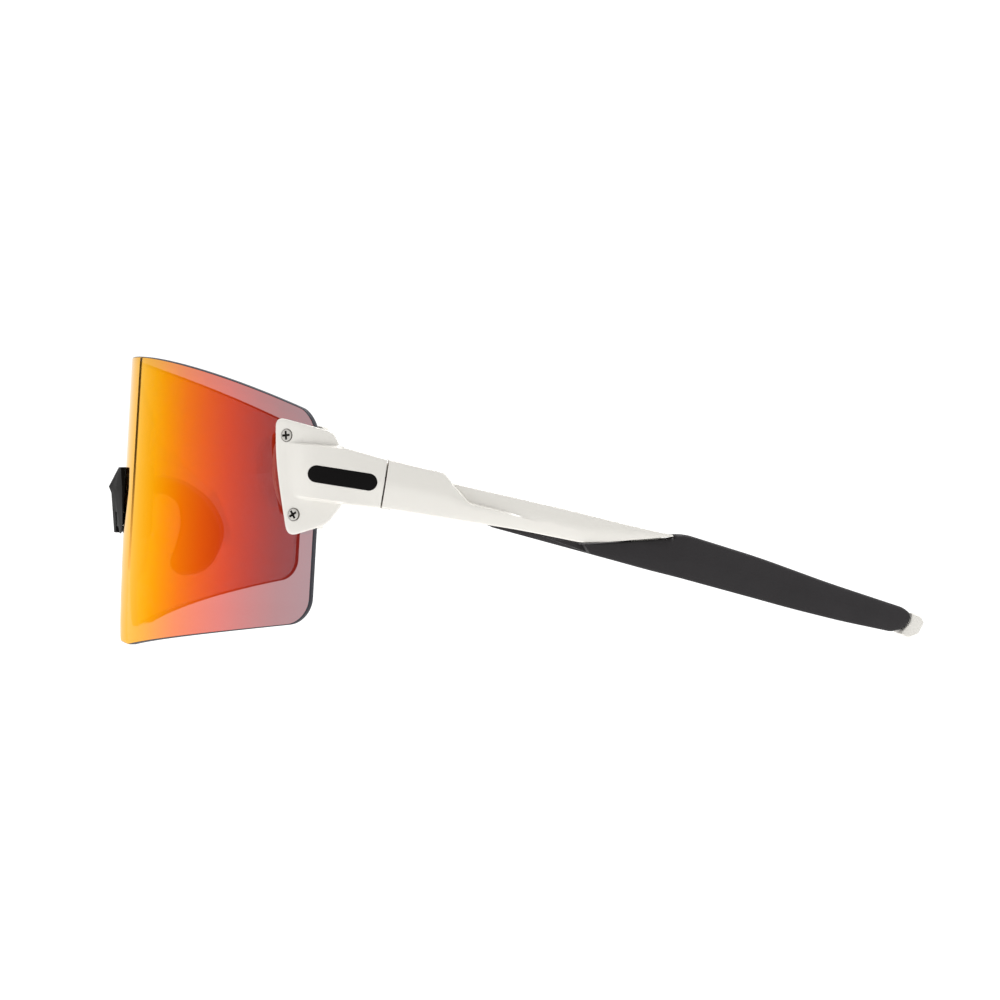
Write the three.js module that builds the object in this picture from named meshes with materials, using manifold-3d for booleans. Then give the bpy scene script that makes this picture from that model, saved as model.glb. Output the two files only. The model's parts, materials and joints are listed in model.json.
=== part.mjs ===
// Wraparound sport sunglasses with a one-piece shield lens.
// Millimetres. +X is the wearer's left, -Y the front, +Z up. The glasses rest on z = 0 on the
// lens's lower edge, either side of the nose, and on the two temple tips. The origin is the
// bottom centre of the whole object's box.
// Left-side pieces are drawn once, and the right side is their mirror image.
import * as THREE from "three";
import { mergeVertices } from "three/addons/utils/BufferGeometryUtils.js";
import Module from "manifold-3d";

const wasm = await Module();
wasm.setup();

// ---------------------------------------------------------------- driving dimensions

const GAP = 0.3; // left between pieces that touch
const RUNNING_GAP = 0.1; // round a pin that turns in its bore
const ROUND_STEPS = 14; // sides of a small round

const LENS_R = 77; // outer face of the shield, a cylinder
const LENS_T = 1.5;
const LENS_TILT = THREE.MathUtils.degToRad(4.4); // top leans back
const LENS_CENTRE = new THREE.Vector3(0, 0.16, 27.52);
const LENS_EDGE_S = 80.9; // rear edge, measured round the lens from its middle
const LENS_TOP = { middle: 25.7, drop: 9.2, at: 73.5, power: 2.5 };
const LENS_FOOT = -33.4; // flat stretch beside the nose notch
const LENS_LOWER = { rise: 0.175, at: 76.5, height: -24.3 };
const LENS_CORNER = { top: 4.2, bottom: 4.4 };
const NOTCH = { half: 10.6, spring: -13.4, crown: -6.2, flareS: 13.3, flareH: -26, toeS: 17.4 };

const PLATE_T = 2.6; // end plate, outside the lens
const BACK_T = 2.4; // back plate, inside it
const SCREWS = { upper: { angle: 56.5, height: 10.2 }, lower: { angle: 58.2, height: -4.0 } };
const SCREW = { headR: 1.15, headT: 0.7, sunk: 0.5, shankR: 0.65, holeR: 0.95, crossW: 0.4, crossL: 1.5 };
const INSERT = { r: 1.4, boreR: 0.95, length: 1.9 };

const HINGE_TILT = THREE.MathUtils.degToRad(10); // leans with the lens, square to the temple
const HINGE = new THREE.Vector3(67.2, -25.9, 31.4);
const HINGE_H = 8.7; // height of arm and temple at the joint
const KNUCKLE_R = 2.0;
const KNUCKLE_ROOM_R = 2.3;
const TONGUE_HALF = 1.6;
const FORK_LEAF = { from: 1.9, to: 3.9 };
const PIN_R = 0.7;

const TEMPLE_OUT = 72; // outer face at the hinge
const ARM_FACE = [ // the arm's outer face in plan, as [x, y, corner radius]
  [66.6, -43.6], [70.3, -39.6, 1.2], [71.6, -35.4, 2.5], [TEMPLE_OUT, -30, 2.5], [TEMPLE_OUT, -23],
];
const PLATE_FACE = [ // the end plate's outer face behind the lens, a little inside the arm's
  [50, -50], [75, -50], [69.0, -39.9], [70.2, -36.5], [70.85, -32.9], [50, -32.9],
];
const ACCENT = { y: -33.3, z: 33.2, length: 12.4, height: 3, depth: 1 };
const TEMPLE_BEND_R = 390; // curves in towards the ear
const TEMPLE_BEND_FROM = -20;
const STEP_DEPTH = 1.4; // outer panel stands this far proud at its front
const STEP_END = 3; // and runs out here

const COVER = { half: 12.3, edge: 0.8, facet: 2.6 };
const NOSE_PIVOT = { x: 7.5, z: 32.1 };
const PAD_SPLAY = THREE.MathUtils.degToRad(18);
const PAD_T = 2.6;
const WIRE_R = 0.5;

// outlines seen from the side, as [y, z] or [y, z, corner radius]
const PLATE_OUTLINE = [
  [-44.9, 44.6, 1.6], [-34.8, 41.5, 0.9], [-33.3, 38.9, 0.4], [-33.3, 28.4, 0.4],
  [-36.2, 24.8, 1.2], [-43.3, 22.7, 1.5], [-44.3, 29.9, 3], [-45.0, 36.9, 3],
];
const ARM_OUTLINE = [
  [-43.4, 40.2], [-33.6, 39.0], [-24.0, 36.1], [-24.0, 27.3], [-33.9, 28.5], [-43.4, 30.0],
];
const PANEL_OUTLINE = [
  [-27, 36.8], [-15.2, 33.8, 1.5], [-10.6, 28.4, 1.5], [3, 24.6], [3, 22.1], [-1.3, 23.1], [-15.6, 25.7],
  [-27.5, 27.9],
];
const BAND_OUTLINE = [
  [-27, 35.6], [-12.4, 31.85], [7.7, 26.6], [21.3, 22.9], [27.6, 21.45], [27.6, 21.15], [21.1, 20.8],
  [14.5, 20.45], [10.2, 20.5], [-1.3, 23.1], [-15.6, 25.7], [-27.5, 27.9],
];
const SLEEVE_OUTLINE = [
  [10.6, 20.1], [14.5, 20.1], [21.1, 20.45], [27.9, 20.8], [28.0, 21.45], [30.6, 21.4], [44.9, 16.7],
  [59.1, 11.4], [75.6, 5.75, 1], [76.95, 4.6, 0.6], [76.7, 2.9, 1], [75.0, 1.6, 0.8], [72.8, 1.25],
  [61.7, 3.9], [51.1, 6.8], [44.8, 8.7], [11.5, 18.6],
];
const TONGUE_OUTLINE = [[3.4, 21.7], [10.4, 20.1], [15, 19.9], [14, 17.9], [11.5, 18.6]]; // under the band
const STEM_OUTLINE = [
  [21, 21.8], [27.0, 20.9], [31, 18.7], [45, 14.1], [60, 9.1], [75, 4.5], [78.5, 3.6], [78.5, 2.2],
  [75, 2.6], [60, 6.3], [45, 11.3], [31, 15.9], [24, 18.8], [19, 21.0],
];
const TIP_OUTLINE = [
  [77.3, 5.0], [79.6, 3.8, 0.4], [80.3, 2.6, 0.4], [79.0, 0.6, 0.4], [77.0, 0], [76.2, 0], [74.9, 0.75],
  [75.25, 1.3], [77.05, 2.75], [77.35, 4.4],
];
const CAVITY_OUTLINE = [
  [16, 22.5], [28, 22.5], [31.2, 19.1], [45.1, 14.5], [60.1, 9.5], [79, 4.2], [79, 1.4], [75, 2.2],
  [59.9, 5.9], [44.9, 10.9], [30.8, 15.5], [23.9, 18.3], [18, 20.4],
];
const PAD_OUTLINE = [
  [-70.2, 33.8], [-65.0, 32.7], [-59.6, 28.6], [-57.0, 24.2], [-56.3, 20.2], [-57.7, 15.5], [-60.5, 12.8],
  [-64.9, 12.2], [-67.1, 14.6], [-65.8, 19.0], [-64.9, 23.4], [-65.5, 27.6], [-67.9, 29.8], [-70.2, 30.3],
];

// ---------------------------------------------------------------- joining and cutting

function solidOf(geometry) {
  const bare = new THREE.BufferGeometry();
  bare.setAttribute("position", geometry.getAttribute("position").clone());
  if (geometry.index) bare.setIndex(geometry.index.clone());
  const merged = mergeVertices(bare, 1e-4);
  return new wasm.Manifold(new wasm.Mesh({
    numProp: 3,
    vertProperties: Float32Array.from(merged.getAttribute("position").array),
    triVerts: Uint32Array.from(merged.index.array),
  }));
}

function geometryOf(solid) {
  const mesh = solid.getMesh();
  const geometry = new THREE.BufferGeometry();
  geometry.setAttribute("position", new THREE.BufferAttribute(mesh.vertProperties, 3));
  geometry.setIndex(new THREE.BufferAttribute(mesh.triVerts, 1));
  return geometry;
}

function join(first, ...others) {
  return geometryOf(others.reduce((sum, other) => sum.add(solidOf(other)), solidOf(first)));
}

function cut(first, ...others) {
  return geometryOf(others.reduce((rest, other) => rest.subtract(solidOf(other)), solidOf(first)));
}

function common(first, ...others) {
  return geometryOf(others.reduce((rest, other) => rest.intersect(solidOf(other)), solidOf(first)));
}

// ---------------------------------------------------------------- basic shapes

/** A closed shape through [u, v, corner radius] points. */
function roundedShape(points) {
  const shape = new THREE.Shape();
  points.forEach(([u, v, radius = 0], i) => {
    const corner = new THREE.Vector2(u, v);
    const before = new THREE.Vector2(...points.at(i - 1).slice(0, 2));
    const after = new THREE.Vector2(...points[(i + 1) % points.length].slice(0, 2));
    const enter = before.sub(corner).setLength(radius).add(corner);
    const leave = after.sub(corner).setLength(radius).add(corner);
    if (i === 0) shape.moveTo(enter.x, enter.y);
    else shape.lineTo(enter.x, enter.y);
    if (radius > 0) shape.quadraticCurveTo(corner.x, corner.y, leave.x, leave.y);
  });
  shape.closePath();
  return shape;
}

function extrude(shape, from, to, curveSegments = 4) {
  const geometry = new THREE.ExtrudeGeometry(shape, { depth: to - from, bevelEnabled: false, curveSegments });
  return geometry.translate(0, 0, from);
}

/** Extrudes a side outline across the glasses, from x0 to x1. */
function sideSlab(points, x0, x1) {
  const toSide = new THREE.Matrix4().makeBasis(
    new THREE.Vector3(0, 1, 0), new THREE.Vector3(0, 0, 1), new THREE.Vector3(1, 0, 0));
  return extrude(roundedShape(points), x0, x1).applyMatrix4(toSide);
}

/** A bar of radius r along +Z from z0 to z1. */
function bar(r, z0, z1) {
  const geometry = new THREE.CylinderGeometry(r, r, z1 - z0, ROUND_STEPS);
  return geometry.rotateX(Math.PI / 2).translate(0, 0, (z0 + z1) / 2);
}

function block(x0, x1, y0, y1, z0, z1) {
  return new THREE.BoxGeometry(x1 - x0, y1 - y0, z1 - z0)
    .translate((x0 + x1) / 2, (y0 + y1) / 2, (z0 + z1) / 2);
}

// ---------------------------------------------------------------- frames

const lensFrame = new THREE.Matrix4().makeRotationX(-LENS_TILT).setPosition(LENS_CENTRE);
const hingeFrame = new THREE.Matrix4().makeRotationX(-HINGE_TILT).setPosition(HINGE);

/** A frame on the lens's outer face: x rearwards round the lens, y up it, z outwards. */
function onLens(degrees, height) {
  const angle = THREE.MathUtils.degToRad(degrees);
  const along = new THREE.Vector3(Math.cos(angle), Math.sin(angle), 0);
  const out = new THREE.Vector3(Math.sin(angle), -Math.cos(angle), 0);
  const matrix = new THREE.Matrix4().makeBasis(along, new THREE.Vector3(0, 0, 1), out);
  matrix.setPosition(out.clone().multiplyScalar(LENS_R).setZ(height));
  return matrix.premultiply(lensFrame);
}

/** Part of a tube about the lens's axis, between two angles in degrees. */
function lensSector(r0, r1, from, to, z0, z1) {
  const start = THREE.MathUtils.degToRad(from - 90);
  const end = THREE.MathUtils.degToRad(to - 90);
  const shape = new THREE.Shape();
  shape.absarc(0, 0, r1, start, end, false);
  shape.absarc(0, 0, r0, end, start, true);
  const steps = Math.ceil((to - from) / 2.4);
  return extrude(shape, z0, z1, steps).applyMatrix4(lensFrame);
}

// ---------------------------------------------------------------- shield lens

function lensTop(s) {
  const curve = LENS_TOP.middle - LENS_TOP.drop * (s / LENS_TOP.at) ** LENS_TOP.power;
  const start = LENS_EDGE_S - LENS_CORNER.top;
  const into = Math.max(0, (s - start) / LENS_CORNER.top);
  return curve - 1.6 * LENS_CORNER.top * (1 - Math.sqrt(Math.max(0, 1 - into * into)));
}

function lensBottom(s) {
  if (s < NOTCH.half) {
    return NOTCH.spring + (NOTCH.crown - NOTCH.spring) * Math.sqrt(1 - (s / NOTCH.half) ** 2);
  }
  if (s < NOTCH.flareS) {
    return THREE.MathUtils.mapLinear(s, NOTCH.half, NOTCH.flareS, NOTCH.spring, NOTCH.flareH);
  }
  if (s < NOTCH.toeS) {
    const along = (s - NOTCH.flareS) / (NOTCH.toeS - NOTCH.flareS);
    return NOTCH.flareH + (LENS_FOOT - NOTCH.flareH) * Math.sin(along * Math.PI / 2);
  }
  const line = LENS_LOWER.height - LENS_LOWER.rise * (LENS_LOWER.at - s);
  const start = LENS_EDGE_S - LENS_CORNER.bottom;
  const into = Math.max(0, (s - start) / LENS_CORNER.bottom);
  return Math.max(LENS_FOOT, line) + LENS_CORNER.bottom * (1 - Math.sqrt(Math.max(0, 1 - into * into)));
}

/** Distances round one half of the lens, closer together where its outline turns. */
function lensStations() {
  const stations = [0];
  for (let i = 1; i <= 6; i += 1) stations.push(NOTCH.half * Math.sin((i / 6) * Math.PI / 2));
  for (let s = NOTCH.flareS; s < NOTCH.toeS; s += 0.7) stations.push(s);
  stations.push(NOTCH.toeS);
  for (let s = 21; s < 75; s += 3.8) stations.push(s);
  for (let i = 0; i <= 6; i += 1) stations.push(LENS_EDGE_S - 4.4 * (1 - Math.sin((i / 6) * Math.PI / 2)));
  return stations;
}

function lensBlank() {
  const half = lensStations();
  const stations = [...half.slice(1).reverse().map((s) => -s), ...half];
  const rings = stations.map((s) => {
    const angle = s / LENS_R;
    const place = (r, h) => [r * Math.sin(angle), -r * Math.cos(angle), h];
    const top = lensTop(Math.abs(s));
    const bottom = lensBottom(Math.abs(s));
    const inner = LENS_R - LENS_T;
    return [place(LENS_R, top), place(LENS_R, bottom), place(inner, bottom), place(inner, top)];
  });
  const index = [];
  for (let i = 0; i + 1 < rings.length; i += 1) {
    for (let j = 0; j < 4; j += 1) {
      const [a, b] = [4 * i + j, 4 * i + (j + 1) % 4];
      index.push(a, b, b + 4, a, b + 4, a + 4);
    }
  }
  const last = 4 * (rings.length - 1);
  index.push(0, 2, 1, 0, 3, 2, last, last + 1, last + 2, last, last + 2, last + 3);
  const geometry = new THREE.BufferGeometry();
  geometry.setAttribute("position", new THREE.Float32BufferAttribute(rings.flat(2), 3));
  geometry.setIndex(index);
  return geometry.applyMatrix4(lensFrame);
}

function screwHoles(r, from, to) {
  return Object.values(SCREWS).map(
    ({ angle, height }) => bar(r, from, to).applyMatrix4(onLens(angle, height)));
}

function shieldLens() {
  const holes = screwHoles(SCREW.holeR, -4, 4);
  const mirrored = holes.map((hole) => mirror(hole));
  return cut(lensBlank(), ...holes, ...mirrored, block(-90, 90, -100, 10, -5, 0));
}

/** The mirror image across x = 0, turned right side out. */
function mirror(geometry) {
  const flipped = geometry.clone().scale(-1, 1, 1);
  const order = flipped.index.array;
  for (let i = 0; i < order.length; i += 3) [order[i], order[i + 1]] = [order[i + 1], order[i]];
  return flipped;
}

// ---------------------------------------------------------------- end piece and its screws

/** The space the lens needs inside the end piece. */
function lensRoom() {
  const edge = THREE.MathUtils.radToDeg((LENS_EDGE_S + GAP) / LENS_R);
  return lensSector(LENS_R - 12, LENS_R + GAP, 20, edge + 0.2, -40, 30);
}

function armPlan() {
  const inner = HINGE.x - 1;
  return roundedShape([...ARM_FACE, [inner, ARM_FACE.at(-1)[1]], [inner, -33.5], [66.0, -37.6], [62, -39.5]]);
}

/** A skin of the arm, between two depths below its outer face. */
function armSkin(from, to) {
  const outer = ARM_FACE.map(([x, y, r]) => [x - from, y, r]);
  const inner = ARM_FACE.map(([x, y, r]) => [x - to, y, r]).reverse();
  return extrude(roundedShape([...outer, ...inner]), 10, 60);
}

/** Knuckle of the hinge: round about the pin, running to the arm or the temple along y. */
function knuckle(reach, from, to) {
  const plate = block(-1.2, 2.6, Math.min(0, reach), Math.max(0, reach), from, to);
  return join(bar(KNUCKLE_R, from, to), plate);
}

function pinBore() {
  return bar(PIN_R + RUNNING_GAP, -HINGE_H, HINGE_H).applyMatrix4(hingeFrame);
}

function knuckleRoom() {
  return bar(KNUCKLE_ROOM_R, -HINGE_H, HINGE_H).applyMatrix4(hingeFrame);
}

/** Everything behind (or ahead of) the closed joint between arm and temple. */
function beyondSeam(side) {
  const near = side * GAP / 2;
  const far = side * 200;
  return block(-30, 30, Math.min(near, far), Math.max(near, far), -80, 80).applyMatrix4(hingeFrame);
}

function accentShape(grow) {
  const half = ACCENT.length / 2 + grow;
  const round = ACCENT.height / 2 + grow;
  const shape = new THREE.Shape();
  shape.absarc(half - round, 0, round, -Math.PI / 2, Math.PI / 2, false);
  shape.absarc(round - half, 0, round, Math.PI / 2, 1.5 * Math.PI, false);
  return shape;
}

/** The inlay lies along the arm, in a pocket in its outer face. */
function accent(grow, from, to) {
  const place = new THREE.Matrix4().makeBasis(
    new THREE.Vector3(0, Math.cos(HINGE_TILT), -Math.sin(HINGE_TILT)),
    new THREE.Vector3(0, Math.sin(HINGE_TILT), Math.cos(HINGE_TILT)),
    new THREE.Vector3(1, 0, 0));
  place.setPosition(0, ACCENT.y, ACCENT.z);
  return common(extrude(accentShape(grow), 60, 80, 5).applyMatrix4(place), armSkin(from, to));
}

function endpiece() {
  const plate = common(
    lensSector(LENS_R + GAP, LENS_R + GAP + PLATE_T, 50, 68, -20, 25), sideSlab(PLATE_OUTLINE, 55, 80),
    extrude(roundedShape(PLATE_FACE), 10, 60));
  const arm = common(
    extrude(armPlan(), 10, 60), sideSlab(ARM_OUTLINE, 55, 80), beyondSeam(-1));
  const leaves = [1, -1].map((side) => {
    const [from, to] = [side * FORK_LEAF.from, side * FORK_LEAF.to].sort((a, b) => a - b);
    return knuckle(-5, from, to).applyMatrix4(hingeFrame);
  });
  const body = cut(join(plate, arm), lensRoom(), knuckleRoom());
  const counterbores = screwHoles(SCREW.headR + GAP, GAP + PLATE_T - SCREW.sunk, 8);
  return cut(join(body, ...leaves), pinBore(), ...screwHoles(SCREW.holeR, -4, 8), ...counterbores,
    accent(GAP, -3, ACCENT.depth + GAP));
}

function backplate() {
  const outline = [
    [-4.2, 12.6, 1.5], [-7.0, 10.4, 1.5], [-7.6, 6.2, 2], [-7.1, 1.4, 2], [-5.8, -2.4, 1.8],
    [-3.6, -6.2, 1.2], [2.8, -6.6, 0.6], [2.8, 12.2, 0.6],
  ];
  const shape = extrude(roundedShape(outline), -12, 4).applyMatrix4(onLens(58, 0));
  const shell = lensSector(LENS_R - LENS_T - GAP - BACK_T, LENS_R - LENS_T - GAP, 44, 66, -20, 25);
  return cut(common(shell, shape), ...screwHoles(INSERT.r + GAP, -12, 4));
}

function lensScrew({ angle, height }) {
  const seat = GAP + PLATE_T - SCREW.sunk + 0.05;
  const tip = -LENS_T - GAP - BACK_T + 0.2;
  const cross = [block(-SCREW.crossL / 2, SCREW.crossL / 2, -SCREW.crossW / 2, SCREW.crossW / 2, 0.3, 2)];
  cross.push(cross[0].clone().rotateZ(Math.PI / 2));
  const head = cut(bar(SCREW.headR, 0, SCREW.headT), ...cross).translate(0, 0, seat);
  return join(head, bar(SCREW.shankR, tip, seat + 0.1)).applyMatrix4(onLens(angle, height));
}

function lensInsert({ angle, height }) {
  const outer = -LENS_T - GAP - 0.2;
  const sleeve = bar(INSERT.r, outer - INSERT.length, outer);
  return cut(sleeve, bar(INSERT.boreR, -12, 4)).applyMatrix4(onLens(angle, height));
}

function hingePin() {
  const pin = bar(PIN_R, -FORK_LEAF.to, FORK_LEAF.to + 0.1);
  const head = bar(1.2, FORK_LEAF.to + 0.1, FORK_LEAF.to + 0.5);
  const slot = block(-1.5, 1.5, -0.2, 0.2, FORK_LEAF.to + 0.3, FORK_LEAF.to + 1);
  return cut(join(pin, head), slot).applyMatrix4(hingeFrame);
}

// ---------------------------------------------------------------- temple

/** How far out the temple's outer face lies at a distance y along the glasses. */
function templeOut(y) {
  const along = Math.max(0, y - TEMPLE_BEND_FROM);
  return TEMPLE_OUT - (TEMPLE_BEND_R - Math.sqrt(TEMPLE_BEND_R ** 2 - along ** 2));
}

/** A bent wall along the temple, from y0 to y1, between two depths inside its outer face. */
function templeWall(y0, y1, outer, inner) {
  const steps = Math.ceil((y1 - y0) / 8);
  const stations = Array.from({ length: steps + 1 }, (_, i) => y0 + ((y1 - y0) * i) / steps);
  const outside = stations.map((y) => [templeOut(y) - outer(y), y]);
  const inside = stations.map((y) => [templeOut(y) - inner(y), y]).reverse();
  return extrude(roundedShape([...outside, ...inside]), -10, 60);
}

function taper(from, to, depth0, depth1) {
  return (y) => THREE.MathUtils.mapLinear(THREE.MathUtils.clamp(y, from, to), from, to, depth0, depth1);
}

function templeArm() {
  const inner = taper(-22, 11, 6, 4);
  const panel = common(sideSlab(PANEL_OUTLINE, 50, 80), templeWall(-30, 3, () => 0, inner));
  const step = taper(-12, STEP_END, STEP_DEPTH, 0);
  const band = common(sideSlab(BAND_OUTLINE, 50, 80), templeWall(-30, 30, step, inner));
  const stem = common(sideSlab(STEM_OUTLINE, 40, 80), templeWall(15, 84, () => 1.9, () => 4.3));
  const tipShape = common(sideSlab(TIP_OUTLINE, 40, 80), templeWall(74, 84, () => 0.9, () => 5.3));
  const body = common(join(panel, band, stem, tipShape), beyondSeam(1));
  const tongue = knuckle(5, -TONGUE_HALF, TONGUE_HALF).applyMatrix4(hingeFrame);
  return cut(join(cut(body, knuckleRoom()), tongue), pinBore());
}

function templeSleeve() {
  const inner = taper(11, 76, 6.6, 5.6);
  const outer = taper(60, 77, 0, 0.5);
  const body = common(sideSlab(SLEEVE_OUTLINE, 40, 80), templeWall(5, 78, outer, inner));
  const cavity = common(sideSlab(CAVITY_OUTLINE, 40, 80), templeWall(12, 84, () => 1.6, () => 4.6));
  const tongue = common(sideSlab(TONGUE_OUTLINE, 40, 80), templeWall(0, 20, () => 3.6, inner));
  return cut(join(body, tongue), cavity);
}

// ---------------------------------------------------------------- nose parts

/** A solid through flat rings of equal length, each a list of [x, y] at a height z. */
function stack(rings) {
  const count = rings[0].points.length;
  const index = [];
  for (let i = 0; i + 1 < rings.length; i += 1) {
    for (let j = 0; j < count; j += 1) {
      const [a, b] = [count * i + j, count * i + (j + 1) % count];
      index.push(a, b, b + count, a, b + count, a + count);
    }
  }
  const top = count * (rings.length - 1);
  for (let j = 1; j + 1 < count; j += 1) index.push(0, j + 1, j, top, top + j, top + j + 1);
  const geometry = new THREE.BufferGeometry();
  const positions = rings.flatMap(({ z, points }) => points.flatMap(([x, y]) => [x, y, z]));
  geometry.setAttribute("position", new THREE.Float32BufferAttribute(positions, 3));
  geometry.setIndex(index);
  return geometry;
}

/** The lens's outer face in plan at half width x, at about the height of the bridge. */
function lensFace(x) {
  return LENS_CENTRE.y - Math.sqrt(LENS_R ** 2 - x ** 2);
}

function coverRing(z, half, keel) {
  const { facet, edge } = COVER;
  const shoulder = THREE.MathUtils.lerp(keel, lensFace(half) - edge, 0.27);
  const side = lensFace(half) - edge;
  const back = -68;
  return { z, points: [
    [-half, back], [-half, side], [-facet, shoulder], [0, keel], [facet, shoulder], [half, side],
    [half, back],
  ] };
}

function bridgeCover() {
  const wedge = stack([
    coverRing(21.9, COVER.half - 1.6, -79.5), coverRing(30.4, COVER.half, -79.9),
    coverRing(31.8, COVER.half, -80.4), coverRing(35.9, COVER.half - 2.4, -78.2),
  ]);
  const behind = lensSector(30, LENS_R + GAP, -40, 40, -40, 40);
  const underside = bar(7.4, -100, -60).scale(1, 0.55, 1).rotateX(-Math.PI / 2).translate(0, 0, 20.5);
  const pocket = block(-4.4, 4.4, -78.9, -70, 23.2, 26.4);
  return cut(wedge, behind, pocket, cut(underside, block(-2.4, 2.4, -110, -50, 10, 40)));
}

function saddleArch() {
  const shape = new THREE.Shape();
  shape.moveTo(-9, -30);
  shape.lineTo(9, -30);
  shape.lineTo(7.4, 19);
  shape.absellipse(0, 19, 7.4, 4.2, 0, Math.PI, false);
  shape.closePath();
  const upright = extrude(shape, 60, 90, 8).applyMatrix4(new THREE.Matrix4().makeRotationX(Math.PI / 2));
  return upright;
}

function noseSaddle() {
  const outer = LENS_R - LENS_T - GAP;
  const front = [[-12.4, 20.5, 2.5], [12.4, 20.5, 2.5], [11.4, 36.2, 3], [-11.4, 36.2, 3]];
  const upright = extrude(roundedShape(front), 60, 90).applyMatrix4(
    new THREE.Matrix4().makeRotationX(Math.PI / 2));
  const wall = common(lensSector(outer - 2.4, outer, -20, 20, -40, 40), upright);
  const bosses = [1, -1].map((side) => noseBoss().translate(side * NOSE_PIVOT.x, 0, NOSE_PIVOT.z));
  const bores = [1, -1].map((side) =>
    noseBore(WIRE_R + RUNNING_GAP).translate(side * NOSE_PIVOT.x, 0, NOSE_PIVOT.z));
  const rib = block(-4, 4, -78.2, -72.6, 23.6, 26.0);
  return cut(join(cut(wall, saddleArch()), ...bosses, rib), ...bores);
}

function noseBoss() {
  return bar(1.7, -74.2, -70.7).rotateX(-Math.PI / 2);
}

function noseBore(r) {
  return bar(r, -74, -60).rotateX(-Math.PI / 2);
}

/** The wire's route in the pad's own plane, from the saddle into the pad. */
function wireSolid(r, start) {
  const path = new THREE.CurvePath();
  const at = (y, z) => new THREE.Vector3(0, y, z);
  path.add(new THREE.LineCurve3(at(start, 0), at(-66.5, 0)));
  path.add(new THREE.QuadraticBezierCurve3(at(-66.5, 0), at(-62.4, 0), at(-61.4, -5)));
  path.add(new THREE.LineCurve3(at(-61.4, -5), at(-60.9, -9)));
  const section = new THREE.Shape().absarc(0, 0, r, 0, 2 * Math.PI, false);
  return new THREE.ExtrudeGeometry(section, { steps: 9, extrudePath: path, curveSegments: 4 });
}

/** Turns a piece drawn upright about the pivot's line to the pad's splayed place. */
function splay(geometry) {
  return geometry.rotateY(-PAD_SPLAY).translate(NOSE_PIVOT.x, 0, NOSE_PIVOT.z);
}

function nosePad() {
  const outline = PAD_OUTLINE.map(([y, z]) => new THREE.Vector2(y, z - NOSE_PIVOT.z));
  const curve = new THREE.SplineCurve([...outline, outline[0]]);
  const points = curve.getPoints(28).slice(0, -1).map((point) => [point.x, point.y]);
  return splay(cut(sideSlab(points, -PAD_T / 2, PAD_T / 2), wireSolid(WIRE_R + GAP, -75)));
}

function noseWire() {
  return splay(wireSolid(WIRE_R, -73.6));
}

// ---------------------------------------------------------------- finishes

const finish = (color, roughness, metalness = 0) =>
  new THREE.MeshStandardMaterial({ color, roughness, metalness });
const MIRROR_ORANGE = finish(0xe8602a, 0.08, 0.5);
const WHITE_GLOSS = finish(0xe4e2dc, 0.3);
const RUBBER_BLACK = finish(0x2b292c, 0.75);
const SATIN_BLACK = finish(0x1d1b1d, 0.45);
const STEEL = finish(0xb9b6ae, 0.3, 1);
const BRASS = finish(0xc09a4e, 0.35, 1);

// ---------------------------------------------------------------- assembly

function piece(name, geometry, material) {
  const mesh = new THREE.Mesh(geometry, material);
  mesh.name = name;
  return mesh;
}

const sidePieces = [
  ["endpiece", endpiece(), WHITE_GLOSS],
  ["backplate", backplate(), WHITE_GLOSS],
  ["accent", accent(0, -0.05, ACCENT.depth), SATIN_BLACK],
  ["hinge_pin", hingePin(), STEEL],
  ["temple_arm", templeArm(), WHITE_GLOSS],
  ["temple_sleeve", templeSleeve(), RUBBER_BLACK],
  ["nose_pad", nosePad(), RUBBER_BLACK],
  ["nose_wire", noseWire(), STEEL],
];
const screwPieces = Object.entries(SCREWS).flatMap(([level, place]) => [
  ["lens_screw", level, lensScrew(place), STEEL],
  ["lens_insert", level, lensInsert(place), BRASS],
]);

function side(word) {
  const group = new THREE.Group();
  for (const [name, geometry, material] of sidePieces) {
    group.add(piece(`${name}_${word}`, geometry, material));
  }
  for (const [name, level, geometry, material] of screwPieces) {
    group.add(piece(`${name}_${word}_${level}`, geometry, material));
  }
  return group;
}

const left = side("left");
const right = side("right");
right.scale.x = -1;

const glasses = new THREE.Group();
glasses.add(piece("shield_lens", shieldLens(), MIRROR_ORANGE));
glasses.add(piece("bridge_cover", bridgeCover(), SATIN_BLACK));
glasses.add(piece("nose_saddle", noseSaddle(), SATIN_BLACK));
glasses.add(left, right);

const box = new THREE.Box3().setFromObject(glasses);
glasses.position.y = -(box.min.y + box.max.y) / 2;

export default glasses;
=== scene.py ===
"""Looks for the wraparound sport sunglasses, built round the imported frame.

Lengths are in millimetres until a piece's mesh is made, which turns them into metres.
Left-side pieces are drawn once and mirrored across x = 0.
"""
import json
import math
from types import SimpleNamespace

import bmesh
import bpy
import numpy as np
from mathutils import Matrix, Vector
from mathutils.geometry import delaunay_2d_cdt


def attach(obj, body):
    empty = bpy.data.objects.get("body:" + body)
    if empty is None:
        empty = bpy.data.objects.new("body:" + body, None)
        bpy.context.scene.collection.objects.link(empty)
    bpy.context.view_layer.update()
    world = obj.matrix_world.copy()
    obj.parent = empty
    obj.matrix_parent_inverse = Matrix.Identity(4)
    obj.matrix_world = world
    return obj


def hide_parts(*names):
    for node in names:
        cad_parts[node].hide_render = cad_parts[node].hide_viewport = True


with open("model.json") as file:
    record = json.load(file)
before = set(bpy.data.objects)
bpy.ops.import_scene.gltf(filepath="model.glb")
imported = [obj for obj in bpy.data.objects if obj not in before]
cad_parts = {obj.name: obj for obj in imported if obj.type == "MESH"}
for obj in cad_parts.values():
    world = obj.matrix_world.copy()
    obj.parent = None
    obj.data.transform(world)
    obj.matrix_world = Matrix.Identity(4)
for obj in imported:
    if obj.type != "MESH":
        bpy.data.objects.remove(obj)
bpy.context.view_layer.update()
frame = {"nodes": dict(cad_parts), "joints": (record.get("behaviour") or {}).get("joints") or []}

# ---------------------------------------------------------------- sizes

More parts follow.
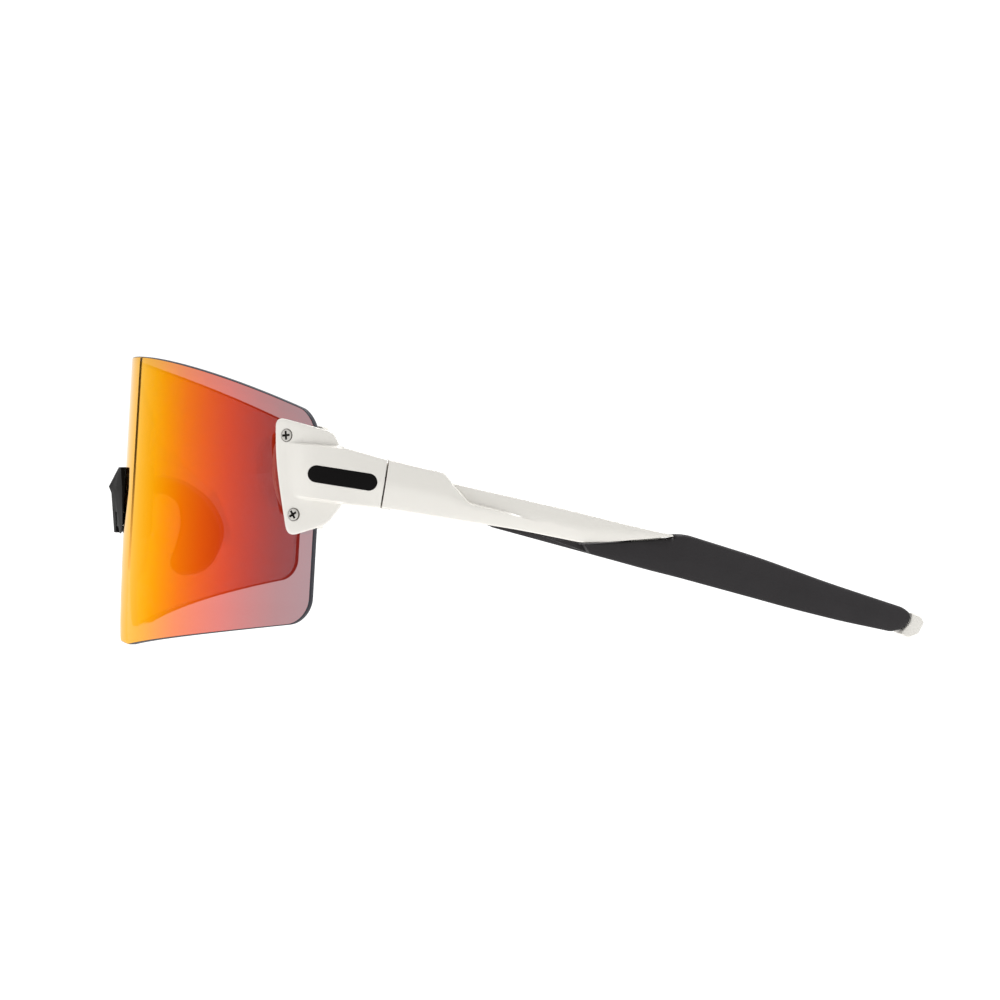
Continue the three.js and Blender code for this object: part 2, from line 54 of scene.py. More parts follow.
MM = 0.001
HINGE = np.array([67.2, -25.9, 31.4])
FOLD_AXIS_AT = next(j for j in frame["joints"] if j["name"] == "temple_left_fold")["pos_m"]
SHIFT_Y = FOLD_AXIS_AT[1] / MM - HINGE[1]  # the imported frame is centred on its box

LENS = SimpleNamespace(
    radius=77.0, thick=1.5, tilt=math.radians(4.4), centre=(0.0, 0.16, 27.52), edge=80.9)
LENS_TOP = SimpleNamespace(middle=25.7, drop=9.2, at=73.5, power=2.5)
LENS_FOOT = -33.4
LENS_LOWER = SimpleNamespace(rise=0.175, at=76.5, height=-24.3)
LENS_CORNER = SimpleNamespace(top=4.2, bottom=4.4)
NOTCH = SimpleNamespace(
    half=10.6, spring=-13.4, crown=-6.2, flare_s=13.3, flare_h=-26.0, toe_s=17.4)
SCREWS = {"upper": (56.5, 10.2), "lower": (58.2, -4.0)}  # degrees round the lens, height on it
GAP = 0.3
PLATE_THICK = 2.6
BACK_THICK = 2.4
SEAM = 0.3
HINGE_TILT = math.radians(10)
BEND_RADIUS = 390.0
BEND_FROM = -20.0
TEMPLE_OUT = 72.0
STEP_DEPTH = 1.4
CROWN = 0.85
NOSE_PIVOT = (7.5, 32.1)
PAD_SPLAY = math.radians(18)

# side outlines as (y, z) or (y, z, corner)
ENDPIECE_OUTLINE = [
    (-44.9, 44.6, 1.9), (-34.8, 41.5, 1.0), (-33.62, 38.97), (-22.5, 35.65), (-22.5, 27.12),
    (-33.35, 28.43), (-36.2, 24.8, 1.5), (-43.3, 22.7, 1.9), (-44.3, 29.9, 3), (-45.0, 36.9, 3),
]
ARM_TOP = [(-46.0, 40.52), (-43.4, 40.2), (-33.6, 39.0), (-24.0, 36.1)]
ARM_BOTTOM = [(-46.0, 30.4), (-43.4, 30.0), (-33.9, 28.5), (-24.0, 27.3)]
ARM_FACE = [(-50.0, 60.6), (-43.6, 66.6), (-39.6, 70.1), (-35.4, 71.55), (-30.0, 72.0), (-20.0, 72.0)]
PLATE_FACE = [
    (-50.0, 65.0), (-44.0, 67.6), (-41.0, 68.55), (-39.0, 69.15), (-36.5, 69.8), (-33.0, 70.5), (-28.0, 70.8),
]
ARM_ROOT = [(-36.8, 39.2), (-33.6, 38.7), (-22.5, 35.4), (-22.5, 27.4), (-33.9, 28.75), (-37.6, 29.3)]
TEMPLE_OUTLINE = [
    (-29.5, 37.53), (-15.2, 33.9, 0.5), (-13.45, 31.95), (7.7, 26.7, 3), (21.3, 22.95, 3), (27.6, 21.45),
    (27.6, 21.15), (21.1, 20.8, 1.5), (14.5, 20.45, 1.2), (10.2, 20.5, 1.2), (-1.3, 23.1, 3),
    (-15.6, 25.7, 3), (-29.5, 28.27),
]
STEP_LINE = [(-15.2, 33.9), (-10.5, 28.35, 0.5), (3.0, 24.6, 2), (10.0, 22.6)]
STEM_OUTLINE = [
    (21, 21.6), (27.0, 20.7), (31, 18.6), (45, 14.0), (60, 9.0), (74, 4.8), (75, 4.4), (78.5, 4.4),
    (78.5, 3.4), (75, 3.1), (74, 2.6), (60, 6.4), (45, 11.4), (31, 16.0), (24, 18.9), (19, 20.9),
]
TIP_OUTLINE = [
    (77.3, 4.7, 0.2), (79.5, 3.8, 0.4), (80.2, 2.6, 0.4), (78.9, 0.55, 0.4), (77.0, 0.0, 0.3),
    (76.2, 0.0, 0.2), (74.9, 0.72, 0.1), (75.25, 1.35, 0.2), (77.0, 2.8, 0.3), (77.3, 4.2, 0.2),
]
SLEEVE_OUTLINE = [
    (10.6, 20.1, 0.2), (14.5, 20.15, 2), (21.1, 20.5, 3), (27.85, 20.83, 0.1), (27.9, 21.45, 0.1),
    (30.4, 21.42, 0.8), (44.9, 16.7, 4), (59.1, 11.4, 4), (75.6, 5.8, 1.0), (76.98, 4.6, 0.6),
    (76.7, 2.9, 1.0), (75.0, 1.6, 0.8), (72.8, 1.25, 0.8), (61.7, 3.9, 3), (51.1, 6.8, 3),
    (44.8, 8.7, 3), (11.6, 18.5, 0.4),
]
SLEEVE_TONGUE = [(3.4, 21.7), (10.4, 20.1), (15.0, 19.9), (14.0, 17.95), (11.5, 18.65)]
CAVITY_OUTLINE = [
    (16, 22.5), (28, 22.5), (31.2, 19.1), (45.1, 14.5), (60.1, 9.5), (74.5, 5.0), (75, 4.5), (79, 4.5),
    (79, 3.3), (75, 3.0), (74.3, 2.3), (59.9, 5.9), (44.9, 10.9), (30.8, 15.5), (23.9, 18.3), (18, 20.4),
]
PAD_OUTLINE = [
    (-70.2, 33.8), (-65.0, 32.7), (-59.6, 28.6), (-57.0, 24.2), (-56.3, 20.2), (-57.7, 15.5), (-60.5, 12.8),
    (-64.9, 12.2), (-67.1, 14.6), (-65.8, 19.0), (-64.9, 23.4), (-65.5, 27.6), (-67.9, 29.8), (-70.2, 30.3),
]
INLAY = SimpleNamespace(y=-33.3, z=33.2, length=12.4, height=3.0)


# ---------------------------------------------------------------- node wiring

class Wire:
    """One output socket of a node tree. Arithmetic on it adds Math nodes."""

    def __init__(self, bench, socket):
        self.bench = bench
        self.socket = socket

    def __add__(self, other):
        return self.bench.maths("ADD", self, other)

    def __sub__(self, other):
        return self.bench.maths("SUBTRACT", self, other)

    def __rsub__(self, other):
        return self.bench.maths("SUBTRACT", other, self)

    def __mul__(self, other):
        return self.bench.maths("MULTIPLY", self, other)

    def __truediv__(self, other):
        return self.bench.maths("DIVIDE", self, other)

    def __abs__(self):
        return self.bench.maths("ABSOLUTE", self)

    __radd__ = __add__
    __rmul__ = __mul__


class Bench:
    """Adds nodes to one tree, for a finish or for a shape."""

    def __init__(self, tree):
        self.tree = tree
        tree.nodes.clear()

    def node(self, kind, settings=None, inputs=None):
        """Adds a node: its settings first, then the value or link of each named socket."""
        made = self.tree.nodes.new(kind)
        for key, value in (settings or {}).items():
            if key == "stops":
                self.fill_ramp(made.color_ramp, value)
            else:
                setattr(made, key, value)
        for key, value in (inputs or {}).items():
            if isinstance(value, Wire):
                self.tree.links.new(value.socket, made.inputs[key])
            else:
                made.inputs[key].default_value = value
        return made

    def wire(self, kind, output, settings=None, inputs=None):
        return Wire(self, self.node(kind, settings, inputs).outputs[output])

    def maths(self, operation, *values):
        return self.wire("ShaderNodeMath", "Value", {"operation": operation}, dict(enumerate(values)))

    @staticmethod
    def fill_ramp(ramp, stops):
        while len(ramp.elements) < len(stops):
            ramp.elements.new(0.5)
        for element, (position, colour) in zip(ramp.elements, stops):
            element.position = position
            element.color = (*colour, 1)

    def blend(self, factor, first, second):
        colours = [c if isinstance(c, Wire) else (*c, 1) for c in (first, second)]
        return self.wire("ShaderNodeMix", 2, {"data_type": "RGBA"}, {
            0: factor, 6: colours[0], 7: colours[1]})

    def noise(self, place, scale, detail=2.0):
        return self.wire("ShaderNodeTexNoise", "Fac", None, {
            "Vector": place, "Scale": scale, "Detail": detail})

    def split(self, vector):
        parts = self.node("ShaderNodeSeparateXYZ", None, {"Vector": vector})
        return [Wire(self, parts.outputs[axis]) for axis in "XYZ"]


def finish(name, shader):
    """A material whose surface is what shader(bench) returns."""
    material = bpy.data.materials.new(name)
    material.use_nodes = True
    bench = Bench(material.node_tree)
    bench.node("ShaderNodeOutputMaterial", None, {"Surface": shader(bench)})
    return material


def moulded(name, tones, roughness, spread, grain, height, coat=0.0, sheen=0.0, specular=0.5):
    """Moulded plastic or rubber: slow tone changes, uneven gloss, and a fine skin grain."""
    def shader(bench):
        place = bench.wire("ShaderNodeTexCoord", "Object")
        cloud = bench.noise(place, 55.0, 3.0)
        speck = bench.noise(place, grain, 4.0)
        colour = bench.blend(cloud * 0.7 + speck * 0.3, *tones)
        rough = bench.noise(place, 420.0) * (2 * spread) + (roughness - spread)
        skin = bench.wire("ShaderNodeBump", "Normal", None, {
            "Height": speck, "Strength": 0.6, "Distance": height * MM})
        return bench.wire("ShaderNodeBsdfPrincipled", "BSDF", None, {
            "Base Color": colour, "Roughness": rough, "Normal": skin, "Coat Weight": coat,
            "Coat Roughness": 0.12, "Sheen Weight": sheen, "Specular IOR Level": specular})
    return finish(name, shader)


def metal(name, tones, roughness, lines):
    """Turned metal: fine rings of machining marks and small stains."""
    def shader(bench):
        place = bench.wire("ShaderNodeTexCoord", "Object")
        stain = bench.noise(place, 900.0, 3.0)
        marks = bench.noise(place, lines, 2.0)
        colour = bench.blend(stain, *tones)
        rough = marks * 0.2 + (roughness - 0.1)
        skin = bench.wire("ShaderNodeBump", "Normal", None, {
            "Height": marks, "Strength": 0.5, "Distance": 0.004 * MM})
        return bench.wire("ShaderNodeBsdfPrincipled", "BSDF", None, {
            "Base Color": colour, "Roughness": rough, "Normal": skin, "Metallic": 1.0})
    return finish(name, shader)


# Painted reflection colour: the coat's shift from yellow seen at a glance to red and purple seen face-on is
# laid out by degrees round the lens, not by the angle it is seen at.
LENS_STOPS = [  # painted reflection colour of the mirror coat, by degrees round from the middle of the lens
    (0, (1.0, 0.70, 0.12)), (7, (1.0, 0.67, 0.09)), (11, (1.0, 0.62, 0.05)), (14, (1.0, 0.57, 0.03)),
    (18, (1.0, 0.53, 0.008)), (25, (1.0, 0.41, 0.001)), (30, (1.0, 0.295, 0.001)), (35, (0.965, 0.18, 0.001)),
    (40, (0.89, 0.106, 0.001)), (45, (0.76, 0.056, 0.001)), (50, (0.545, 0.030, 0.002)),
    (55, (0.35, 0.020, 0.006)), (60, (0.26, 0.016, 0.012)),
]
FILM_STOPS = [  # how much of the light it mirrors, painted by place to stand for its change with viewing angle
    (0, 0.985), (15, 0.96), (25, 0.9), (35, 0.82), (45, 0.73), (60, 0.62),
]
LENS_SWEEP = 66.0


def lens_angle(bench):
    """Degrees round the lens from its middle, over LENS_SWEEP."""
    x, y, z = bench.split(bench.wire("ShaderNodeTexCoord", "Object"))
    ahead = (y - (LENS.centre[1] + SHIFT_Y) * MM) * -math.cos(LENS.tilt)
    ahead = ahead + (z - LENS.centre[2] * MM) * math.sin(LENS.tilt)
    return bench.maths("ARCTAN2", abs(x), ahead) * (180 / math.pi / LENS_SWEEP)


def mirror_shader(bench):
    place = bench.wire("ShaderNodeTexCoord", "Object")
    # Painted reflection: tint and mirror share follow place round the lens and stand for the coat's change
    # with viewing angle.
    angle = lens_angle(bench) + (bench.noise(place, 30.0, 1.0) - 0.5) * 0.02
    tint = bench.wire("ShaderNodeValToRGB", "Color", {
        "stops": [(a / LENS_SWEEP, colour) for a, colour in LENS_STOPS]}, {"Fac": angle})
    film = bench.wire("ShaderNodeValToRGB", "Color", {
        "stops": [(a / LENS_SWEEP, (share,) * 3) for a, share in FILM_STOPS]}, {"Fac": angle})
    rough = bench.noise(place, 500.0) * 0.02 + 0.035
    coat = bench.wire("ShaderNodeBsdfPrincipled", "BSDF", None, {
        "Base Color": tint, "Metallic": 1.0, "Roughness": rough, "Specular Tint": (1.0, 0.8, 0.5, 1)})
    clear = bench.wire("ShaderNodeBsdfTransparent", "BSDF", None, {"Color": (0.66, 0.69, 0.73, 1)})
    return bench.wire("ShaderNodeMixShader", "Shader", None, {0: film, 1: clear, 2: coat})


def inner_shader(bench):
    """The lens's inner face: nearly all see-through, with a weak gloss."""
    place = bench.wire("ShaderNodeTexCoord", "Object")
    share = bench.noise(place, 60.0) * 0.02 + 0.05
    gloss = bench.wire("ShaderNodeBsdfPrincipled", "BSDF", None, {
        "Base Color": (0.06, 0.01, 0.012, 1), "Roughness": 0.06})
    clear = bench.wire("ShaderNodeBsdfTransparent", "BSDF", None, {"Color": (0.98, 0.96, 0.98, 1)})
    return bench.wire("ShaderNodeMixShader", "Shader", None, {0: share, 1: clear, 2: gloss})


WHITE = moulded(
    "white_nylon", [(0.648, 0.629, 0.585), (0.667, 0.649, 0.607)],
    0.25, 0.03, 2600.0, 0.002, coat=0.2)
# Painted shade: a darker brown-grey finish for the joint's closed faces, standing for the shadow in the seam
# gap.
SEAM_SHADE = moulded(
    "painted_seam_shade", [(0.27, 0.225, 0.165), (0.33, 0.28, 0.21)],
    0.6, 0.05, 2600.0, 0.004, specular=0.1)
RUBBER = moulded(
    "soft_black_rubber", [(0.012, 0.0107, 0.0115), (0.0255, 0.023, 0.0247)],
    0.66, 0.08, 5200.0, 0.03, specular=0.25)
PAD_RUBBER = moulded(
    "nose_pad_rubber", [(0.016, 0.014, 0.016), (0.028, 0.025, 0.027)],
    0.7, 0.08, 4200.0, 0.02, specular=0.15)
SATIN = moulded(
    "satin_black_nylon", [(0.004, 0.0035, 0.0035), (0.009, 0.008, 0.008)],
    0.4, 0.06, 3000.0, 0.01, specular=0.011)
INK = moulded(
    "inlay_black", [(0.003, 0.003, 0.003), (0.007, 0.006, 0.006)],
    0.5, 0.05, 3400.0, 0.005, specular=0.04)
EDGE = moulded(
    "lens_edge", [(0.016, 0.016, 0.022), (0.03, 0.03, 0.04)],
    0.5, 0.08, 3000.0, 0.01, specular=0.2)
STEEL = metal("turned_steel", [(0.50, 0.48, 0.45), (0.66, 0.64, 0.60)], 0.26, 5200.0)
# Painted shade: a near-black finish set in the screws' cross slots, standing for the shadow down in the
# recess.
SHADE = moulded(
    "painted_recess_shade", [(0.010, 0.009, 0.008), (0.022, 0.020, 0.018)],
    0.6, 0.05, 3000.0, 0.004, specular=0.1)
BRASS = metal("turned_brass", [(0.55, 0.36, 0.13), (0.72, 0.50, 0.20)], 0.3, 4800.0)
MIRROR = finish("mirror_coat", mirror_shader)
INNER = finish("lens_inner_face", inner_shader)


# ---------------------------------------------------------------- flat outlines

def rounded(points, steps=8):
    """The outline through (u, v) or (u, v, corner) points, its corners rounded off."""
    corners = [(np.array(p[:2], float), p[2] if len(p) > 2 else 0.0) for p in points]
    line = []
    for i, (corner, size) in enumerate(corners):
        if not size:
            line.append(corner)
            continue
        before, after = corners[i - 1][0], corners[(i + 1) % len(corners)][0]
        enter = corner + (before - corner) * size / np.linalg.norm(before - corner)
        leave = corner + (after - corner) * size / np.linalg.norm(after - corner)
        for t in np.linspace(0, 1, steps + 1):
            line.append((1 - t) ** 2 * enter + 2 * t * (1 - t) * corner + t ** 2 * leave)
    return np.array(line)


def open_line(points, steps=8):
    """The same for a line with two ends."""
    return rounded([tuple(points[0][:2]), *points[1:-1], tuple(points[-1][:2])], steps)


def evenly(line, pitch, closed=True):
    """Adds points so that no stretch is longer than pitch."""
    ends = np.roll(line, -1, axis=0) if closed else line[1:]
    dense = []
    for a, b in zip(line, ends):
        count = max(1, math.ceil(np.linalg.norm(b - a) / pitch))
        dense.extend(a + (b - a) * k / count for k in range(count))
    if not closed:
        dense.append(line[-1])
    return np.array(dense)


def through(points, closed=True, per_span=10):
    """A smooth line through the points."""
    p = np.array(points, float)
    count = len(p)
    line = []
    for i in range(count if closed else count - 1):
        near = [(i + k) % count if closed else min(max(i + k, 0), count - 1) for k in (-1, 0, 1, 2)]
        a, b, c, d = p[near]
        for t in np.arange(per_span) / per_span:
            line.append(0.5 * (2 * b + (c - a) * t + (2 * a - 5 * b + 4 * c - d) * t ** 2
                               + (3 * b - a - 3 * c + d) * t ** 3))
    if not closed:
        line.append(p[-1])
    return np.array(line)


def turns_left(line):
    ahead = np.roll(line, -1, axis=0)
    return np.sum(line[:, 0] * ahead[:, 1] - ahead[:, 0] * line[:, 1]) > 0


def inset(ring, distance):
    """The ring moved inwards by distance. It runs anticlockwise."""
    ahead = np.roll(ring, -1, axis=0) - ring
    ahead /= np.linalg.norm(ahead, axis=1)[:, None]
    normal = np.stack([-ahead[:, 1], ahead[:, 0]], 1)
    both = normal + np.roll(normal, 1, axis=0)
    both /= np.linalg.norm(both, axis=1)[:, None]
    reach = np.maximum(np.sum(both * normal, axis=1), 0.5)
    return ring + both * (distance / reach)[:, None]


def near_line(points, line, closed=True):
    """Each point's distance from a line, above 0 on its left."""
    a = line if closed else line[:-1]
    b = np.roll(line, -1, axis=0) if closed else line[1:]
    run = b - a
    rel = points[:, None] - a[None]
    t = np.clip(np.sum(rel * run, 2) / np.maximum(np.sum(run * run, 1), 1e-12), 0, 1)
    off = rel - t[..., None] * run
    gap = np.linalg.norm(off, axis=2)
    best = gap.argmin(1)
    rows = np.arange(len(points))
    side = run[best, 0] * rel[rows, best, 1] - run[best, 1] * rel[rows, best, 0]
    return gap[rows, best] * np.where(side < 0, -1, 1)


def inside(points, ring):
    a, b = ring, np.roll(ring, -1, axis=0)
    u, v = points[:, :1], points[:, 1:]
    crosses = (a[:, 1] > v) != (b[:, 1] > v)
    rise = np.where(b[:, 1] == a[:, 1], 1e-12, b[:, 1] - a[:, 1])
    return np.sum(crosses & (u < a[:, 0] + (v - a[:, 1]) * (b[:, 0] - a[:, 0]) / rise), 1) % 2 == 1


def fill(ring, pitch, ridges):
    """Triangles over a ring, with points inside it every pitch and along the ridges."""
    points = [tuple(p) for p in ring]
    edges = []
    blocked = np.zeros((0, 2))
    for ridge in ridges:
        kept = inside(ridge, ring) & (np.abs(near_line(ridge, ring)) > 0.05)
        for i, p in enumerate(ridge):
            if not kept[i]:
                continue
            if i and kept[i - 1]:
                edges.append((len(points) - 1, len(points)))
            points.append(tuple(p))
        blocked = np.vstack([blocked, ridge[kept]])
    low, high = ring.min(0), ring.max(0)
    lanes = [np.arange(a + pitch / 2, b, pitch) for a, b in zip(low, high)]
    grid = np.stack(np.meshgrid(*lanes), -1).reshape(-1, 2)
    grid = grid[inside(grid, ring)]
    grid = grid[np.abs(near_line(grid, ring)) > pitch * 0.6]
    if len(blocked):
        gaps = np.min(np.linalg.norm(grid[:, None] - blocked[None], axis=2), axis=1)
        grid = grid[gaps > pitch * 0.5]
    points.extend(map(tuple, grid))
    flat, _, faces, sources, _, _ = delaunay_2d_cdt(
        [Vector(p) for p in points], edges, [list(range(len(ring)))], 1, 1e-6)
    numbers = []
    for i, source in enumerate(sources):
        if source:
            numbers.append(min(source))
        else:
            numbers.append(len(points))
            points.append(tuple(flat[i]))
    return np.array(points), [[numbers[i] for i in face] for face in faces]


# ---------------------------------------------------------------- solid shapes

def level(value):
    """A height that is the same everywhere, as a function of place."""
    return value if callable(value) else (lambda points: np.full(len(points), float(value)))


def slab(outline, top, bottom, edges=(0.3, 0.3), pitch=1.2, ring_pitch=0.4, ridges=(), steps=4,
         fade=1.0):
    """A closed slab over an outline, between two heights, as points and faces.

    Its edges are rounded to the sizes in edges, and fade thins them from place to place.
    """
    ring = evenly(np.array(outline), ring_pitch)
    if not turns_left(ring):
        ring = ring[::-1]
    count = len(ring)
    points, faces, rims = [], [], []
    total = 0
    for sign, face, size in ((1, level(top), edges[0]), (-1, level(bottom), edges[1])):
        turns = np.linspace(0, math.pi / 2, steps + 1) if size else [math.pi / 2]
        edge = size * level(fade)(ring)
        rings = []
        for turn in turns:
            flat = inset(ring, edge * (1 - math.cos(turn)))
            rings.append(total)
            points.append(np.column_stack([flat, face(flat) - sign * edge * (1 - math.sin(turn))]))
            total += count
        for low, high in zip(rings, rings[1:]):
            for i in range(count):
                j = (i + 1) % count
                quad = (low + i, low + j, high + j, high + i)
                faces.append(quad if sign > 0 else quad[::-1])
        flat, triangles = fill(flat, pitch, ridges if sign > 0 else ())
        extra = flat[count:]
        points.append(np.column_stack([extra, face(extra)]) if len(extra) else np.zeros((0, 3)))
        shift = total - count
        for triangle in triangles:
            named = [rings[-1] + i if i < count else shift + i for i in triangle]
            faces.append(named if sign > 0 else named[::-1])
        total += len(extra)
        rims.append(rings[0])
    for i in range(count):
        j = (i + 1) % count
        faces.append((rims[1] + i, rims[1] + j, rims[0] + j, rims[0] + i))
    return np.vstack(points), faces


def sideways(points):
    """Turns (y, z, x) points of a side slab into (x, y, z)."""
    return points[:, [2, 0, 1]]


def solid(name, points, faces):
    """A new object from points in millimetres of the part's own frame."""
    mesh = bpy.data.meshes.new(name)
    placed = (np.asarray(points) + (0, SHIFT_Y, 0)) * MM
    mesh.from_pydata(placed.tolist(), [], [list(map(int, f)) for f in faces])
    mesh.validate()
    tidy(mesh)
    piece = bpy.data.objects.new(name, mesh)
    bpy.context.scene.collection.objects.link(piece)
    return piece


def tidy(mesh, merge=1e-7):
    """Merges doubles, drops slivers and points every face outwards."""
    work = bmesh.new()
    work.from_mesh(mesh)
    bmesh.ops.remove_doubles(work, verts=work.verts, dist=merge)
    bmesh.ops.dissolve_degenerate(work, edges=work.edges, dist=merge)
    bmesh.ops.recalc_face_normals(work, faces=work.faces)
    work.to_mesh(mesh)
    work.free()


def settle(piece):
    """Applies a piece's modifiers to its mesh."""
    graph = bpy.context.evaluated_depsgraph_get()
    mesh = bpy.data.meshes.new_from_object(
        piece.evaluated_get(graph), preserve_all_data_layers=True, depsgraph=graph)
    piece.modifiers.clear()
    piece.data = mesh
    return piece


def combine(piece, operation, *tools):
    """Joins the tools to a piece or cuts them from it, and removes them."""
    for tool in tools:
        step = piece.modifiers.new("combine", "BOOLEAN")
        step.operation = operation
        step.solver = "EXACT"
        step.object = tool
        settle(piece)
        bpy.data.objects.remove(tool)
    return piece


def shade(piece, *materials, angle=35):
    """Gives a piece its finishes and smooth shading with sharp corners."""
    if not piece.data.materials:
        for material in materials:
            piece.data.materials.append(material)
    piece.data.shade_smooth()
    piece.data.set_sharp_from_angle(angle=math.radians(angle))
    return piece


def turned(profile, matrix, sides=40):
    """A round solid: (radius, height) profile about a matrix's z axis, in the part's frame."""
    points, faces = [], []
    for radius, height in profile:
        for k in range(sides):
            a = 2 * math.pi * k / sides
            points.append(matrix @ Vector((radius * math.cos(a), radius * math.sin(a), height)))
    for ring in range(len(profile) - 1):
        for k in range(sides):
            j = (k + 1) % sides
            faces.append((ring * sides + k, ring * sides + j, (ring + 1) * sides + j, (ring + 1) * sides + k))
    last = (len(profile) - 1) * sides
    faces.append(list(range(sides))[::-1])
    faces.append([last + k for k in range(sides)])
    return solid("round", points, faces)


def rod(radius, low, high, matrix, sides=40):
    return turned([(radius, low), (radius, high)], matrix, sides)


def brick(size, matrix):
    """A plain block with its low and high corners in a matrix's frame."""
    corners = [matrix @ Vector((x, y, z)) for z in size[2] for y in size[1] for x in size[0]]
    faces = [(0, 2, 3, 1), (4, 5, 7, 6), (0, 1, 5, 4), (2, 6, 7, 3), (0, 4, 6, 2), (1, 3, 7, 5)]
    return solid("block", corners, faces)


def mirrored(piece, name):
    """The other side's copy of a left-side piece."""
    twin = piece.copy()
    twin.data = piece.data.copy()
    twin.name = name
    twin.data.transform(Matrix.Diagonal((-1, 1, 1, 1)))
    twin.data.flip_normals()
    bpy.context.scene.collection.objects.link(twin)
    return twin


# ---------------------------------------------------------------- frames and faces of the real shape

LENS_FRAME = Matrix.Translation(LENS.centre) @ Matrix.Rotation(-LENS.tilt, 4, "X")
HINGE_FRAME = Matrix.Translation(HINGE.tolist()) @ Matrix.Rotation(-HINGE_TILT, 4, "X")


def on_lens(degrees, height):
    """A frame on the lens's outer face: x rearwards round it, y up it, z outwards."""
    a = math.radians(degrees)
    out = Vector((math.sin(a), -math.cos(a), 0))
    turn = Matrix(((math.cos(a), 0, out.x), (math.sin(a), 0, out.y), (0, 1, 0))).to_4x4()
    turn.translation = out * LENS.radius + Vector((0, 0, height))
    return LENS_FRAME @ turn


def upright(points):
    """The (y, z) of side points in the lens's own tilted frame."""
    y, z = points[:, 0] - LENS.centre[1], points[:, 1] - LENS.centre[2]
    return y * math.cos(LENS.tilt) - z * math.sin(LENS.tilt)


def round_lens(radius):
    """x of a cylinder about the lens's axis, over side points."""
    return lambda points: np.sqrt(np.maximum(radius ** 2 - upright(points) ** 2, 1.0))


def plan(stations):
    """x along a smooth plan line, over side points."""
    line = through([(y, x) for y, x in stations], closed=False)
    return lambda points: np.interp(points[:, 0], line[:, 0], line[:, 1])


def ease(value, start, end):
    t = np.clip((value - start) / (end - start), 0, 1)
    return t * t * (3 - 2 * t)


def chamfer(depth, width):
    """A slope from 0 to 1 over width, eased at its two ends."""
    share = np.clip(depth / width, 0, 1)
    return 0.7 * share + 0.3 * ease(share, 0, 1)


def span(outline):
    """Middle and half height of an outline at each y of some points."""
    ring = evenly(np.array(outline), 0.3)
    bins = np.arange(ring[:, 0].min(), ring[:, 0].max() + 1, 1.0)
    top = np.array([ring[np.abs(ring[:, 0] - y) < 0.9, 1].max() for y in bins])
    foot = np.array([ring[np.abs(ring[:, 0] - y) < 0.9, 1].min() for y in bins])

    def at(points):
        high = np.interp(points[:, 0], bins, top)
        low = np.interp(points[:, 0], bins, foot)
        return (high + low) / 2, np.maximum((high - low) / 2, 0.4)
    return at


def crown(points, shape, depth):
    """How far a crowned face falls away from its middle line."""
    middle, half = shape(points)
    away = np.clip(np.abs(points[:, 1] - middle) / half, 0, 1.1)
    return depth * np.minimum(1, half / 3) * (np.sqrt(away ** 2 + 0.03) - 0.17)


def temple_out(points):
    along = np.maximum(0, points[:, 0] - BEND_FROM)
    return TEMPLE_OUT - (BEND_RADIUS - np.sqrt(BEND_RADIUS ** 2 - along ** 2))


def under_temple(depth):
    """A surface a constant depth inside the temple's outer face."""
    return lambda points: temple_out(points) - depth


# ---------------------------------------------------------------- lens

def lens_top(s):
    curve = LENS_TOP.middle - LENS_TOP.drop * (s / LENS_TOP.at) ** LENS_TOP.power
    into = np.clip((s - (LENS.edge - LENS_CORNER.top)) / LENS_CORNER.top, 0, 1)
    return curve - 1.6 * LENS_CORNER.top * (1 - np.sqrt(1 - into ** 2))


def lens_bottom(s):
    arch = NOTCH.spring + (NOTCH.crown - NOTCH.spring) * np.sqrt(np.maximum(0, 1 - (s / NOTCH.half) ** 2))
    flank = np.interp(s, [NOTCH.half, NOTCH.flare_s], [NOTCH.spring, NOTCH.flare_h])
    along = np.clip((s - NOTCH.flare_s) / (NOTCH.toe_s - NOTCH.flare_s), 0, 1)
    toe = NOTCH.flare_h + (LENS_FOOT - NOTCH.flare_h) * np.sin(along * math.pi / 2)
    line = np.maximum(LENS_FOOT, LENS_LOWER.height - LENS_LOWER.rise * (LENS_LOWER.at - s))
    into = np.clip((s - (LENS.edge - LENS_CORNER.bottom)) / LENS_CORNER.bottom, 0, 1)
    corner = line + LENS_CORNER.bottom * (1 - np.sqrt(1 - into ** 2))
    return np.select([s < NOTCH.half, s < NOTCH.flare_s, s < NOTCH.toe_s], [arch, flank, toe], corner)


def lens_outline():
    """The flat outline of the lens, as distance round it and height."""
    ends = LENS.edge - LENS_CORNER.bottom * (1 - np.sin(np.linspace(0, math.pi / 2, 14)))
    s = np.concatenate([
        NOTCH.half * np.sin(np.linspace(0, math.pi / 2, 22)), np.linspace(NOTCH.half + 0.3, NOTCH.flare_s, 6),
        np.linspace(NOTCH.flare_s + 0.3, NOTCH.toe_s, 14), np.arange(18.0, LENS.edge - 4.8, 1.2), ends])
    lower = np.column_stack([s, lens_bottom(s)])
    upper = np.column_stack([s, lens_top(s)])[::-1]
    half = np.vstack([lower, upper])
    other = half[::-1] * (-1, 1)
    return np.vstack([half, other[1:-1]])


